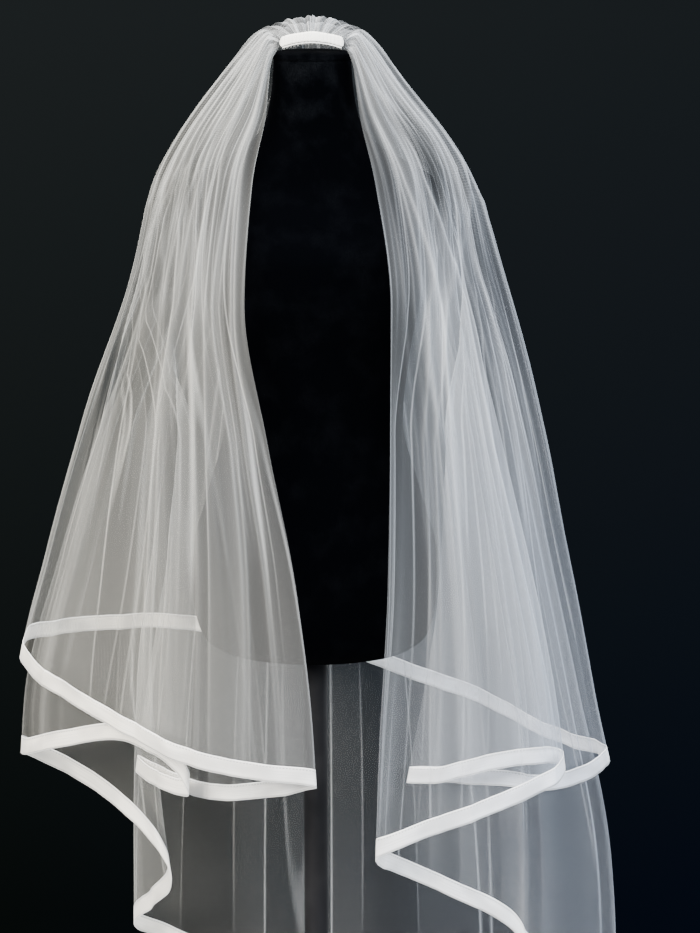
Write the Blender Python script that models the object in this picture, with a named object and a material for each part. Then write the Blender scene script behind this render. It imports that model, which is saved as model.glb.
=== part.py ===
"""Bridal veil of fine net, worn back from a comb on a limbless, headless dress form.

Metres, +Z up, the floor at Z 0. The front faces -Y. The veil is one gathered sheet: every ray runs
from the comb to the hem. The rays go from the back of the upper tier round the side to the front
fold, and back through the cascade of folds to the back of the lower tier.
"""

import bmesh
import bpy
import math
import numpy as np

# --- sizes of the cloth ---
NET_WALL = 0.0012  # one layer of net, as a solid wall
RIBBON_WALL = 0.0015
RIBBON_WIDTH = 0.022
SEAM_GAP = 0.0003  # between pieces that are sewn together
HEM_GAP = 0.0007  # between net and ribbon along a ray, which leaves about as much on a steep hem
NET_ROWS = 15  # rows of faces from comb to ribbon
ROW_EASE = 0.85  # under 1, rows are closer together near the hem
WAVE_DEEP = 0.014  # soft flutes of the back, at the lower hem
WAVES_PER_SIDE = 2.5
FLUTED_FROM = 0.55  # around the drape: the flutes lie behind this line
SINE_PASSES = 8  # of smoothing of the ribbon's height along the hem
STEEPEST = 0.66  # least sine of the angle between a ray and the hem that widens the ribbon
FLUTE_BLEND = 0.20  # around the drape: how far the flutes take to grow
WALL_STEP = 0.004  # around the drape: between the points that give its slope
STATION_STEP = 0.020  # the same, along the stations
ABOVE_HEM = 0.05  # stations: the fall of a ray is read this far above its end

# --- comb and its covered band ---
COMB_HALF = 0.0390
COMB_FRONT = -0.0505  # the band's middle line, at its foremost point
COMB_BOW = 7.0  # how fast the band bends back, per metre
COMB_ARCH = 5.2  # how fast the band's ends drop, per metre
BAND_TALL = 0.0115
BAND_THICK = 0.0032
BAND_MIDDLE_Z = 1.5165
BAND_STEPS = 20
BAND_SIDES = 10
BAND_CLEAR = 0.00045  # between the band's back and the net
SPINE_TALL = 0.0030
SPINE_THICK = 0.0014
SPINE_DROP = 0.0006  # of the spine's top under the band's lower edge
TOOTH_COUNT = 17
TOOTH_LONG = 0.034
TOOTH_TILT = 0.10  # how much a tooth drops along its length
COMB_INDENT = 0.003  # of the spine's ends inside the band's

# --- dress form and its stand ---
FORM_SIDES = 32
FORM_RINGS = 23
POLE_RADIUS = 0.016
POLE_SIDES = 20
COLLAR_RADIUS = 0.030
COLLAR_TALL = 0.028
COLLAR_CONE = 0.0084  # the slope from the collar to the pole
BASE_RADIUS = 0.185
BASE_TALL = 0.020
BASE_RIM = 0.004
BASE_SIDES = 36
FORM_BOTTOM = 0.725

# the form's level sections, in half sizes
FORM_SECTIONS = (  # z, wide, front, back
    (0.725, 0.130, 0.086, 0.098),
    (0.740, 0.148, 0.098, 0.112),
    (0.790, 0.160, 0.104, 0.124),
    (0.850, 0.161, 0.103, 0.122),
    (0.930, 0.140, 0.094, 0.098),
    (1.030, 0.115, 0.084, 0.076),
    (1.110, 0.122, 0.091, 0.080),
    (1.190, 0.136, 0.106, 0.088),
    (1.240, 0.142, 0.106, 0.092),
    (1.290, 0.150, 0.080, 0.090),
    (1.318, 0.162, 0.060, 0.080),
    (1.340, 0.152, 0.052, 0.070),
    (1.362, 0.116, 0.049, 0.062),
    (1.384, 0.080, 0.047, 0.056),
    (1.410, 0.060, 0.045, 0.053),
    (1.450, 0.051, 0.044, 0.050),
    (1.486, 0.048, 0.043, 0.049),
)
CAP_TALL = 0.0126
CAP_OVER = 0.0015  # the cap stands out past the neck
# the cap's rings: share of the neck's half sizes, of the overhang and of the height
CAP_RINGS = (  # share, over, up
    (1.00, 0.0, 0.00),
    (1.00, 1.0, 0.25),
    (1.00, 1.0, 0.55),
    (0.86, 1.0, 0.85),
    (0.55, 0.0, 1.00),
)

# --- the outer drape: guide lines from comb to floor, with a point for each station ---
# the stations: comb, crown, neck, shoulder, bust, waist, hip, knee, calf, floor
LEFT_GUIDES = (  # around, points
    (0.00, ((-0.0425, -0.036, 1.501), (-0.050, -0.039, 1.485), (-0.057, -0.058, 1.420),
            (-0.073, -0.088, 1.345), (-0.083, -0.137, 1.200), (-0.055, -0.157, 1.030),
            (-0.021, -0.174, 0.850), (0.000, -0.190, 0.650), (0.008, -0.200, 0.400),
            (0.010, -0.205, 0.120))),
    (0.25, ((-0.0405, -0.034, 1.512), (-0.052, -0.030, 1.518), (-0.093, -0.040, 1.448),
            (-0.150, -0.055, 1.348), (-0.176, -0.098, 1.200), (-0.187, -0.122, 1.030),
            (-0.192, -0.142, 0.850), (-0.200, -0.156, 0.650), (-0.207, -0.165, 0.400),
            (-0.210, -0.170, 0.120))),
    (0.50, ((-0.0310, -0.031, 1.5165), (-0.056, -0.006, 1.523), (-0.114, 0.000, 1.461),
            (-0.192, 0.000, 1.340), (-0.232, 0.000, 1.200), (-0.297, 0.000, 1.030),
            (-0.353, 0.000, 0.850), (-0.400, 0.000, 0.650), (-0.412, 0.000, 0.400),
            (-0.414, 0.000, 0.120))),
    (0.75, ((-0.0160, -0.030, 1.5185), (-0.031, 0.012, 1.533), (-0.078, 0.062, 1.462),
            (-0.150, 0.092, 1.350), (-0.190, 0.124, 1.200), (-0.222, 0.145, 1.030),
            (-0.252, 0.163, 0.850), (-0.280, 0.178, 0.650), (-0.292, 0.190, 0.400),
            (-0.296, 0.196, 0.120))),
    (1.00, ((0.0, -0.030, 1.519), (0.0, 0.014, 1.538), (0.0, 0.078, 1.482),
            (0.0, 0.122, 1.360), (0.0, 0.152, 1.200), (0.0, 0.174, 1.030),
            (0.0, 0.192, 0.850), (0.0, 0.207, 0.650), (0.0, 0.218, 0.400),
            (0.0, 0.224, 0.120))),
)
RIGHT_GUIDES = (  # around, points
    (0.00, ((0.0425, -0.036, 1.501), (0.050, -0.039, 1.485), (0.060, -0.058, 1.420),
            (0.080, -0.088, 1.340), (0.100, -0.143, 1.200), (0.099, -0.160, 1.030),
            (0.096, -0.172, 0.850), (0.086, -0.188, 0.650), (0.080, -0.196, 0.400),
            (0.078, -0.200, 0.120))),
    (0.25, ((0.0405, -0.034, 1.512), (0.053, -0.030, 1.518), (0.096, -0.038, 1.445),
            (0.158, -0.052, 1.345), (0.190, -0.086, 1.200), (0.228, -0.106, 1.030),
            (0.268, -0.126, 0.850), (0.306, -0.144, 0.650), (0.330, -0.152, 0.400),
            (0.340, -0.156, 0.120))),
    (0.50, ((0.0310, -0.031, 1.5165), (0.057, -0.006, 1.523), (0.118, 0.000, 1.450),
            (0.195, 0.000, 1.342), (0.243, 0.004, 1.200), (0.289, 0.012, 1.030),
            (0.328, 0.022, 0.850), (0.370, 0.032, 0.650), (0.422, 0.060, 0.400),
            (0.448, 0.080, 0.120))),
    (0.75, ((0.0160, -0.030, 1.5185), (0.031, 0.012, 1.533), (0.078, 0.062, 1.460),
            (0.150, 0.092, 1.350), (0.190, 0.124, 1.200), (0.222, 0.145, 1.030),
            (0.252, 0.163, 0.850), (0.286, 0.178, 0.650), (0.320, 0.192, 0.400),
            (0.336, 0.198, 0.120))),
    (1.00, ((0.0, -0.030, 1.519), (0.0, 0.014, 1.538), (0.0, 0.078, 1.482),
            (0.0, 0.122, 1.360), (0.0, 0.152, 1.200), (0.0, 0.174, 1.030),
            (0.0, 0.192, 0.850), (0.0, 0.207, 0.650), (0.0, 0.218, 0.400),
            (0.0, 0.224, 0.120))),
)

# --- the rays, in order along the hem: a row for each fold or stretch between folds ---
# around is the place on the drape, 0 at the front fold and 1 at the middle of the back,
# layer is 0 on the upper tier and 1 on the lower one above the shoulders, inset is how far inside
# the outer drape the ray runs lower down, and hem is the height of its lower end
# the columns: around_top, around_waist, around_hem, layer, inset_waist, inset_hem, hem
LEFT_UPPER = (
    (1.000, 1.000, 1.000, 0.00, 0.000, 0.000, 0.660),
    (0.880, 0.880, 0.880, 0.00, 0.000, 0.000, 0.672),
    (0.760, 0.760, 0.760, 0.00, 0.000, 0.000, 0.688),
    (0.650, 0.650, 0.650, 0.00, 0.000, 0.000, 0.700),
    (0.560, 0.560, 0.560, 0.00, 0.000, 0.000, 0.714),
    (0.500, 0.500, 0.500, 0.00, 0.000, 0.000, 0.706),
    (0.430, 0.430, 0.420, 0.00, 0.000, 0.000, 0.688),
    (0.340, 0.340, 0.330, 0.00, 0.000, 0.000, 0.661),
    (0.240, 0.240, 0.230, 0.00, 0.000, 0.000, 0.630),
    (0.170, 0.150, 0.140, 0.00, 0.000, 0.000, 0.613),
    (0.110, 0.070, 0.060, 0.00, 0.000, 0.000, 0.605),
    (0.050, 0.024, 0.020, 0.12, 0.001, 0.002, 0.602),
    (0.000, 0.000, 0.000, 0.50, 0.006, 0.008, 0.597),
)
LEFT_LOWER = (
    (0.050, 0.022, 0.018, 0.88, 0.014, 0.018, 0.590),
    (0.110, 0.050, 0.050, 1.00, 0.026, 0.036, 0.576),
    (0.170, 0.110, 0.110, 1.00, 0.038, 0.058, 0.560),
    (0.230, 0.170, 0.190, 1.00, 0.044, 0.070, 0.553),
    (0.290, 0.230, 0.270, 1.00, 0.047, 0.072, 0.561),
    (0.320, 0.250, 0.316, 1.00, 0.040, 0.064, 0.577),
    (0.345, 0.235, 0.290, 1.00, 0.033, 0.053, 0.568),
    (0.370, 0.200, 0.238, 1.00, 0.028, 0.048, 0.562),
    (0.395, 0.178, 0.212, 1.00, 0.020, 0.037, 0.570),
    (0.420, 0.200, 0.236, 1.00, 0.012, 0.025, 0.606),
    (0.450, 0.270, 0.310, 1.00, 0.010, 0.020, 0.632),
    (0.480, 0.350, 0.390, 1.00, 0.010, 0.013, 0.606),
    (0.520, 0.420, 0.452, 1.00, 0.012, 0.005, 0.580),
    (0.560, 0.470, 0.497, 1.00, 0.024, 0.012, 0.570),
    (0.610, 0.520, 0.533, 1.00, 0.042, 0.050, 0.545),
    (0.660, 0.580, 0.575, 1.00, 0.058, 0.110, 0.511),
    (0.710, 0.635, 0.615, 1.00, 0.062, 0.165, 0.468),
    (0.755, 0.690, 0.650, 1.00, 0.056, 0.205, 0.424),
    (0.785, 0.730, 0.690, 1.00, 0.048, 0.200, 0.376),
    (0.810, 0.760, 0.720, 1.00, 0.040, 0.135, 0.318),
    (0.835, 0.785, 0.745, 1.00, 0.032, 0.055, 0.254),
    (0.870, 0.830, 0.800, 1.00, 0.027, 0.026, 0.208),
    (0.930, 0.905, 0.890, 1.00, 0.024, 0.026, 0.165),
    (1.000, 1.000, 1.000, 1.00, 0.024, 0.028, 0.145),
)
RIGHT_UPPER = (
    (1.000, 1.000, 1.000, 0.00, 0.000, 0.000, 0.660),
    (0.880, 0.880, 0.880, 0.00, 0.000, 0.000, 0.596),
    (0.760, 0.760, 0.760, 0.00, 0.000, 0.000, 0.540),
    (0.660, 0.660, 0.660, 0.00, 0.000, 0.000, 0.520),
    (0.580, 0.570, 0.570, 0.00, 0.000, -0.003, 0.529),
    (0.520, 0.500, 0.490, 0.00, 0.000, -0.004, 0.538),
    (0.460, 0.420, 0.405, 0.00, 0.008, 0.024, 0.545),
    (0.400, 0.320, 0.280, 0.00, 0.018, 0.062, 0.560),
    (0.360, 0.235, 0.160, 0.00, 0.028, 0.078, 0.568),
    (0.335, 0.170, 0.085, 0.00, 0.031, 0.080, 0.574),
    (0.322, 0.135, 0.048, 0.00, 0.026, 0.070, 0.577),
    (0.308, 0.155, 0.085, 0.00, 0.021, 0.056, 0.582),
    (0.292, 0.200, 0.165, 0.00, 0.017, 0.042, 0.603),
    (0.276, 0.245, 0.245, 0.00, 0.013, 0.028, 0.609),
    (0.262, 0.270, 0.285, 0.00, 0.007, 0.015, 0.601),
    (0.245, 0.250, 0.262, 0.00, 0.000, 0.002, 0.595),
    (0.200, 0.200, 0.190, 0.00, 0.000, 0.000, 0.574),
    (0.165, 0.130, 0.110, 0.00, 0.000, 0.000, 0.546),
    (0.115, 0.060, 0.045, 0.00, 0.000, 0.000, 0.522),
    (0.050, 0.024, 0.020, 0.12, 0.001, 0.002, 0.511),
    (0.000, 0.000, 0.000, 0.50, 0.007, 0.010, 0.501),
)
RIGHT_LOWER = (
    (0.050, 0.016, 0.005, 0.88, 0.018, 0.024, 0.488),
    (0.110, 0.030, 0.014, 1.00, 0.028, 0.050, 0.471),
    (0.180, 0.070, 0.037, 1.00, 0.040, 0.098, 0.441),
    (0.255, 0.150, 0.100, 1.00, 0.044, 0.114, 0.400),
    (0.340, 0.250, 0.205, 1.00, 0.040, 0.102, 0.350),
    (0.430, 0.350, 0.315, 1.00, 0.034, 0.078, 0.294),
    (0.500, 0.430, 0.420, 1.00, 0.030, 0.044, 0.240),
    (0.560, 0.500, 0.500, 1.00, 0.026, 0.014, 0.198),
    (0.620, 0.570, 0.560, 1.00, 0.022, 0.018, 0.180),
    (0.720, 0.680, 0.670, 1.00, 0.022, 0.022, 0.168),
    (0.850, 0.830, 0.820, 1.00, 0.024, 0.026, 0.152),
    (1.000, 1.000, 1.000, 1.00, 0.024, 0.028, 0.145),
)
INSET_COMB = 0.0065  # of the lower tier under the upper one at the comb
INSET_SHOULDER = 0.0080
RAY_SAMPLES = 3  # columns of faces between two rays
HANG_FROM = 3.6  # stations: the folds of the cascade swing open below this one
PART_FROM = 2.4  # and their layers part between these two
PART_TO = 3.9
SHOULDER = 3.0
BUST = 4.0
WAIST = 5.0
FLOOR = 9.0
HEM_SAMPLES = 501  # along a line of the drape, to find where it comes to a height
COMB_TO = 0.8  # stations: down to here an inset follows the comb,
DRAPE_FROM = 2.4  # and from here it follows the drape's own wall
COMB_PULL = (0.2, 2.2, 0.95, 1.2)  # an inset at the comb: sideways at its end and top, back, down
BEYOND_FRONT = 0.75  # of the first two lines' distance, for the line past the front fold


def eased(share):
    """A smooth step from 0 to 1."""
    share = np.clip(share, 0, 1)
    return share * share * (3 - 2 * share)


def material(name, colour, rough):
    """A plain Principled material."""
    made = bpy.data.materials.new(name)
    made.use_nodes = True
    shader = made.node_tree.nodes["Principled BSDF"]
    shader.inputs["Base Color"].default_value = (*colour, 1.0)
    shader.inputs["Roughness"].default_value = rough
    return made


def solid(name, vertices, faces, look):
    """A mesh object from closed outward faces."""
    mesh = bpy.data.meshes.new(name)
    mesh.from_pydata([tuple(map(float, v)) for v in vertices], [], faces)
    mesh.validate()
    made = bpy.data.objects.new(name, mesh)
    bpy.context.scene.collection.objects.link(made)
    made.data.materials.append(look)
    shape = bmesh.new()
    shape.from_mesh(mesh)
    bmesh.ops.recalc_face_normals(shape, faces=shape.faces[:])
    shape.to_mesh(mesh)
    shape.free()
    return made


def smooth_through(values, at):
    """Catmull-Rom curve through rows of values, read at fractional row numbers."""
    values = np.asarray(values, float)
    last = len(values) - 1
    low = np.clip(np.floor(at).astype(int), 0, last - 1)
    part = (np.asarray(at, float) - low).reshape(-1, *([1] * (values.ndim - 1)))
    before = np.where(
        (low > 0).reshape(part.shape),
        values[np.clip(low - 1, 0, last)],
        2 * values[0] - values[1],
    )
    after = np.where(
        (low < last - 1).reshape(part.shape),
        values[np.clip(low + 2, 0, last)],
        2 * values[last] - values[last - 1],
    )
    start = values[low]
    end = values[low + 1]
    return 0.5 * (
        2 * start
        + (end - before) * part
        + (2 * before - 5 * start + 4 * end - after) * part**2
        + (3 * start - before - 3 * end + after) * part**3
    )


def monotone(values, at):
    """Monotone cubic (never past its points) through rows of values, at fractional rows."""
    values = np.asarray(values, float)
    step = np.diff(values, axis=0)
    slope = np.zeros_like(values)
    same = step[:-1] * step[1:] > 0
    total = np.where(same, step[:-1] + step[1:], 1.0)
    slope[1:-1] = np.where(same, 2 * step[:-1] * step[1:] / total, 0.0)
    slope[0] = step[0]
    slope[-1] = step[-1]
    last = len(values) - 1
    low = np.clip(np.floor(at).astype(int), 0, last - 1)
    t = (np.asarray(at, float) - low).reshape(-1, *([1] * (values.ndim - 1)))
    return (
        values[low] * (2 * t**3 - 3 * t**2 + 1)
        + slope[low] * (t**3 - 2 * t**2 + t)
        + values[low + 1] * (3 * t**2 - 2 * t**3)
        + slope[low + 1] * (t**3 - t**2)
    )


def comb_line(x):
    """Depth of the band's middle line at x."""
    return COMB_FRONT + COMB_BOW * x * x


class Drape:
    """The outer drape of one side, read at (around, station)."""

    def __init__(self, own, other):
        rows = [np.array(points, float) for _, points in own]
        beyond_back = np.array(other[-2][1], float)
        beyond_front = 2 * rows[0] - rows[1]
        beyond_front[:, 0] = rows[0][:, 0] + BEYOND_FRONT * (rows[0][:, 0] - rows[1][:, 0])
        self.rows = np.array([beyond_front] + rows + [beyond_back])
        for row in self.rows:
            row[0, 1] = comb_line(row[0, 0]) + BAND_THICK / 2 + BAND_CLEAR

    def at(self, around, station):
        """Points for arrays of around and station of one shape."""
        around = np.asarray(around, float).ravel()
        station = np.asarray(station, float).ravel()
        lines = monotone(np.moveaxis(self.rows, 1, 0), station)
        place = np.clip(around, 0.0, 1.0) * 4 + 1
        low = np.clip(np.floor(place).astype(int), 1, 4)
        t = (place - low)[:, None]
        pick = np.arange(len(low))
        before = lines[pick, low - 1]
        start = lines[pick, low]
        end = lines[pick, low + 1]
        after = lines[pick, np.minimum(low + 2, 6)]
        return 0.5 * (
            2 * start
            + (end - before) * t
            + (2 * before - 5 * start + 4 * end - after) * t**2
            + (3 * start - before - 3 * end + after) * t**3
        )

    def inward(self, around, station, side):
        """Unit vectors that point inside the drape."""
        along = self.at(around + WALL_STEP, station) - self.at(around - WALL_STEP, station)
        down = self.at(around, station + STATION_STEP) - self.at(around, station - STATION_STEP)
        normal = unit(np.cross(along, down) * side)
        place = np.asarray(station, float).ravel()
        near = 1 - eased((place - COMB_TO) / (DRAPE_FROM - COMB_TO))[:, None]
        q = np.clip(np.asarray(around, float).ravel(), 0, 1)
        end_pull, top_pull, back_pull, down_pull = COMB_PULL
        sideways = end_pull * (1 - q) + top_pull * q
        comb = np.stack(
            [-side * (1 - q) * sideways, back_pull * (1 - q), -down_pull * q], axis=1
        )
        return unit(unit(comb) * near + normal * (1 - near))


def hem_stations(drape, around, heights):
    """Stations at which lines of the drape come down to given heights."""
    stations = np.linspace(BUST, FLOOR, HEM_SAMPLES)
    found = []
    for line, height in zip(around, heights):
        falls = -drape.at(np.full(HEM_SAMPLES, line), stations)[:, 2]
        found.append(float(np.interp(-height, falls, stations)))
    return np.array(found)


def ray_grid(drape, side, table):
    """Points of one tier (rows, columns, 3): columns are rays in the hem's order.

    All rows but the last two are the net's, from the comb down. The last two are the ribbon's.
    """
    count = len(table)
    at = np.linspace(0, count - 1, (count - 1) * RAY_SAMPLES + 1)
    fine = smooth_through(np.array(table, float), at)
    hem_at = fine[:, 2]
    hem = fine[:, 6]
    ends = hem_stations(drape, hem_at, hem)
    hem_row = place_row(drape, side, ends, ends, fine)
    above = place_row(drape, side, ends - ABOVE_HEM, ends, fine)
    run = unit(np.gradient(hem_row, axis=0))
    fall = unit(hem_row - above)
    sine = np.maximum(np.linalg.norm(np.cross(run, fall), axis=1), STEEPEST)
    for _ in range(SINE_PASSES):
        sine[1:-1] = (sine[:-2] + 2 * sine[1:-1] + sine[2:]) / 4
    ribbon = hem_stations(drape, hem_at, hem + RIBBON_WIDTH / sine)
    seam = hem_stations(drape, hem_at, hem + (RIBBON_WIDTH + HEM_GAP) / sine)
    rows = [r * seam for r in np.linspace(0, 1, NET_ROWS + 1) ** ROW_EASE]
    return np.array([place_row(drape, side, r, ends, fine) for r in rows + [ribbon, ends]])


def place_row(drape, side, station, ends, fine):
    """One row of points at the given stations of its rays."""
    top, waist, hem_at, layer, in_waist, in_hem, _ = fine.T
    fall = eased((station - HANG_FROM) / (WAIST - HANG_FROM))
    part = eased((station - PART_FROM) / (PART_TO - PART_FROM))
    low = np.clip((station - WAIST) / (ends - WAIST), 0, 1)
    around = top + (waist - top) * fall + (hem_at - waist) * low
    near = np.clip(station / SHOULDER, 0, 1)
    inset_top = layer * (INSET_COMB + (INSET_SHOULDER - INSET_COMB) * near)
    inset = inset_top + (in_waist - inset_top) * part + (in_hem - in_waist) * low
    back = eased((around - FLUTED_FROM) / FLUTE_BLEND)
    depth = np.clip((station - BUST) / (FLOOR - BUST), 0, 1)
    wave = np.cos(2 * math.pi * WAVES_PER_SIDE * (1 - around) / (1 - FLUTED_FROM))
    inset = inset + WAVE_DEEP * depth * back * (1 - wave) / 2
    return drape.at(around, station) + drape.inward(around, station, side) * inset[:, None]


def unit(vectors):
    """Vectors of length 1 along the last axis."""
    return vectors / np.maximum(np.linalg.norm(vectors, axis=-1, keepdims=True), 1e-9)


def walled(name, middle, normal, walls, look):
    """A closed wall about a grid of middle points (rows, columns, 3), walls thick at each row."""
    rows, columns = middle.shape[:2]
    half = normal * walls[:, None, None] / 2
    front = (middle + half).reshape(-1, 3)
    rear = (middle - half).reshape(-1, 3)
    size = rows * columns
    faces = []
    for r in range(rows - 1):
        for c in range(columns - 1):
            a = r * columns + c
            b = a + 1
            d = a + columns
            e = d + 1
            faces.append((a, b, e, d))
            faces.append((size + a, size + d, size + e, size + b))
    rim = list(range(columns))
    rim += [r * columns + columns - 1 for r in range(1, rows)]
    rim += [(rows - 1) * columns + c for c in range(columns - 2, -1, -1)]
    rim += [r * columns for r in range(rows - 2, 0, -1)]
    for here, there in zip(rim, rim[1:] + rim[:1]):  # both sides of a seam get one diagonal
        if here < there:
            faces.append((here, size + here, size + there))
            faces.append((here, size + there, there))
        else:
            faces.append((here, size + here, there))
            faces.append((size + here, size + there, there))
    return solid(name, np.vstack([front, rear]), faces, look)


def turned(name, profile, sides, look):
    """A solid of revolution from (radius, height) pairs, closed at both ends."""
    angles = np.linspace(0, 2 * math.pi, sides, endpoint=False)
    vertices = [
        (radius * math.cos(a), radius * math.sin(a), height)
        for radius, height in profile
        for a in angles
    ]
    return solid(name, vertices, ring_faces(len(profile), sides), look)


def ring_faces(rings, sides):
    """Faces between rings of points, with a cap at either end."""
    faces = []
    for ring in range(rings - 1):
        for k in range(sides):
            n = (k + 1) % sides
            faces.append(
                (ring * sides + k, ring * sides + n, (ring + 1) * sides + n, (ring + 1) * sides + k)
            )
    faces.append(tuple(reversed(range(sides))))
    faces.append(tuple((rings - 1) * sides + k for k in range(sides)))
    return faces


def form_section(wide, front, back, z, sides):
    """One level ring of the form, a rounded oval with its own front and back depth."""
    ring = []
    for k in range(sides):
        a = 2 * math.pi * k / sides
        depth = front if math.sin(a) < 0 else back
        ring.append((wide * math.cos(a), depth * math.sin(a), z))
    return ring


def build_form(look):
    """The padded torso: neck, sloping shoulders, bust, waist and hips."""
    table = np.array(FORM_SECTIONS, float)
    fine = monotone(table, np.linspace(0, len(table) - 1, FORM_RINGS))
    vertices = []
    for z, wide, front, back in fine:
        vertices += form_section(wide, front, back, z, FORM_SIDES)
    return solid("form_torso", vertices, ring_faces(len(fine), FORM_SIDES), look)


def build_cap(look):
    """Shallow domed neck cap, a hair above the neck."""
    z, wide, front, back = FORM_SECTIONS[-1]
    bottom = z + SEAM_GAP
    vertices = []
    for share, over, up in CAP_RINGS:
        grow = CAP_OVER * over
        vertices += form_section(
            wide * share + grow, front * share + grow, back * share + grow,
            bottom + CAP_TALL * up, FORM_SIDES,
        )
    return solid("neck_cap", vertices, ring_faces(len(CAP_RINGS), FORM_SIDES), look)


def build_band(look):
    """The covered band along the comb: a rounded bar bent back and arched."""
    outline = []
    for k in range(BAND_SIDES):
        a = 2 * math.pi * k / BAND_SIDES
        square = max(abs(math.cos(a)), abs(math.sin(a))) ** 0.5
        outline.append(
            (BAND_THICK / 2 * math.cos(a) / square, BAND_TALL / 2 * math.sin(a) / square)
        )
    vertices = []
    for x in np.linspace(-COMB_HALF, COMB_HALF, BAND_STEPS + 1):
        for out, up in outline:
            vertices.append(
                (x, comb_line(x) + out, BAND_MIDDLE_Z - COMB_ARCH * x * x + up)
            )
    return solid("comb_band", vertices, ring_faces(BAND_STEPS + 1, BAND_SIDES), look)


def build_comb(look):
    """Spine under the band with a row of teeth that lie back over the neck cap."""
    cells = TOOTH_COUNT * 2 - 1
    edges = np.linspace(COMB_INDENT - COMB_HALF, COMB_HALF - COMB_INDENT, cells + 1)
    rows = (0.0, SPINE_TALL, SPINE_TALL + TOOTH_LONG)
    vertices = []
    for under in (0, 1):
        for back in rows:
            for x in edges:
                top = BAND_MIDDLE_Z - BAND_TALL / 2 - SPINE_DROP - COMB_ARCH * x * x
                z = top - back * TOOTH_TILT - under * SPINE_THICK
                vertices.append((x, comb_line(x) - SPINE_TALL / 2 + back, z))
    wide = cells + 1
    layer = wide * 3
    kept = set()
    for c in range(cells):
        kept.add((0, c))
        if c % 2 == 0:
            kept.add((1, c))
    faces = []
    for r, c in sorted(kept):
        a = r * wide + c
        b = a + 1
        d = a + wide
        e = d + 1
        faces.append((a, b, e, d))
        faces.append((layer + a, layer + d, layer + e, layer + b))
        borders = (
            ((r - 1, c), (a, b)), ((r + 1, c), (e, d)),
            ((r, c - 1), (d, a)), ((r, c + 1), (b, e)),
        )
        for neighbour, (here, there) in borders:
            if neighbour not in kept:
                faces.append((here, layer + here, layer + there, there))
    return solid("comb_teeth", vertices, faces, look)


def build_side(word, side, own, other, upper, lower, net, satin):
    """Both tiers of one side, each with its ribbon. They meet along the front fold."""
    grid = ray_grid(Drape(own, other), side, upper + lower)
    normal = unit(np.cross(np.gradient(grid, axis=1), np.gradient(grid, axis=0)))
    normal[-3] = unit(normal[-3] + normal[-2])
    normal[-2] = normal[-3]
    fold = (len(upper) - 1) * RAY_SAMPLES
    for tier, columns in (("upper", slice(0, fold + 1)), ("lower", slice(fold, None))):
        middle = grid[:, columns].copy()
        outward = normal[:, columns]
        trim_ends(middle)
        walls = np.full(NET_ROWS + 1, NET_WALL)
        walls[-1] = RIBBON_WALL
        walled(f"net_{tier}_{word}", middle[:-2], outward[:-2], walls, net)
        walled(f"ribbon_{tier}_{word}", middle[-2:], outward[-2:], walls[-1:], satin)


def trim_ends(grid):
    """Pulls the first and last column in by half a seam's gap."""
    for end, inner in ((0, 1), (-1, -2)):
        grid[:, end] += unit(grid[:, inner] - grid[:, end]) * SEAM_GAP / 2


for old in list(bpy.data.objects):
    bpy.data.objects.remove(old, do_unlink=True)

velvet = material("black_velvet", (0.010, 0.010, 0.012), 0.95)
metal = material("dark_metal", (0.030, 0.030, 0.032), 0.40)
net_look = material("white_net", (0.86, 0.87, 0.90), 0.70)
satin_look = material("white_satin", (0.93, 0.92, 0.89), 0.35)
band_look = material("cream_band", (0.90, 0.88, 0.82), 0.60)
comb_look = material("clear_comb", (0.80, 0.80, 0.78), 0.30)

build_form(velvet)
build_cap(velvet)
build_band(band_look)
build_comb(comb_look)
turned(
    "stand_base",
    (
        (BASE_RADIUS - BASE_RIM, 0.0), (BASE_RADIUS, BASE_RIM),
        (BASE_RADIUS, BASE_TALL - BASE_RIM), (BASE_RADIUS - BASE_RIM * 2, BASE_TALL),
    ),
    BASE_SIDES, metal,
)
turned(
    "stand_pole",
    (
        (COLLAR_RADIUS, BASE_TALL + SEAM_GAP), (COLLAR_RADIUS, BASE_TALL + COLLAR_TALL),
        (POLE_RADIUS, BASE_TALL + COLLAR_TALL + COLLAR_CONE),
        (POLE_RADIUS, FORM_BOTTOM - SEAM_GAP),
    ),
    POLE_SIDES, metal,
)
build_side("left", -1.0, LEFT_GUIDES, RIGHT_GUIDES, LEFT_UPPER, LEFT_LOWER, net_look, satin_look)
build_side("right", 1.0, RIGHT_GUIDES, LEFT_GUIDES, RIGHT_UPPER, RIGHT_LOWER, net_look, satin_look)
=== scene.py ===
"""Bridal veil of fine net with a satin ribbon edge, worn from a comb on a limbless dress form.

Metres, +Z up, the floor at Z 0, the front at -Y. Every cloth surface is a grid of two parameters:
a ray, counted along the hem, and a station, from 0 at the comb to 9 at the floor.
"""

import math

import bpy
import numpy as np
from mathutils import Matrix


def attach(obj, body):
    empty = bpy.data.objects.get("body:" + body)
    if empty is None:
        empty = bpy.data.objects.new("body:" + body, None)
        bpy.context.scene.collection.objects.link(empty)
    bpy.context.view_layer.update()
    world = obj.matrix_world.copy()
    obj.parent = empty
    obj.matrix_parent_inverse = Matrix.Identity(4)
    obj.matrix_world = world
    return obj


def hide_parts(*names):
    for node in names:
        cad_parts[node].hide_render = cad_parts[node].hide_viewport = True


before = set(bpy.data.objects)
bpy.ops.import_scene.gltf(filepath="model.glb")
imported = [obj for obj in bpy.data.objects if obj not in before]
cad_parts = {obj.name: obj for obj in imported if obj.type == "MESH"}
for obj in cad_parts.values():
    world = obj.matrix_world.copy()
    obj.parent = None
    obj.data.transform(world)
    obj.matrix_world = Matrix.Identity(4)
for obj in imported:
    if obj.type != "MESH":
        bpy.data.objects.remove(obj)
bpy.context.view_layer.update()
chance = np.random.default_rng(41)

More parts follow.
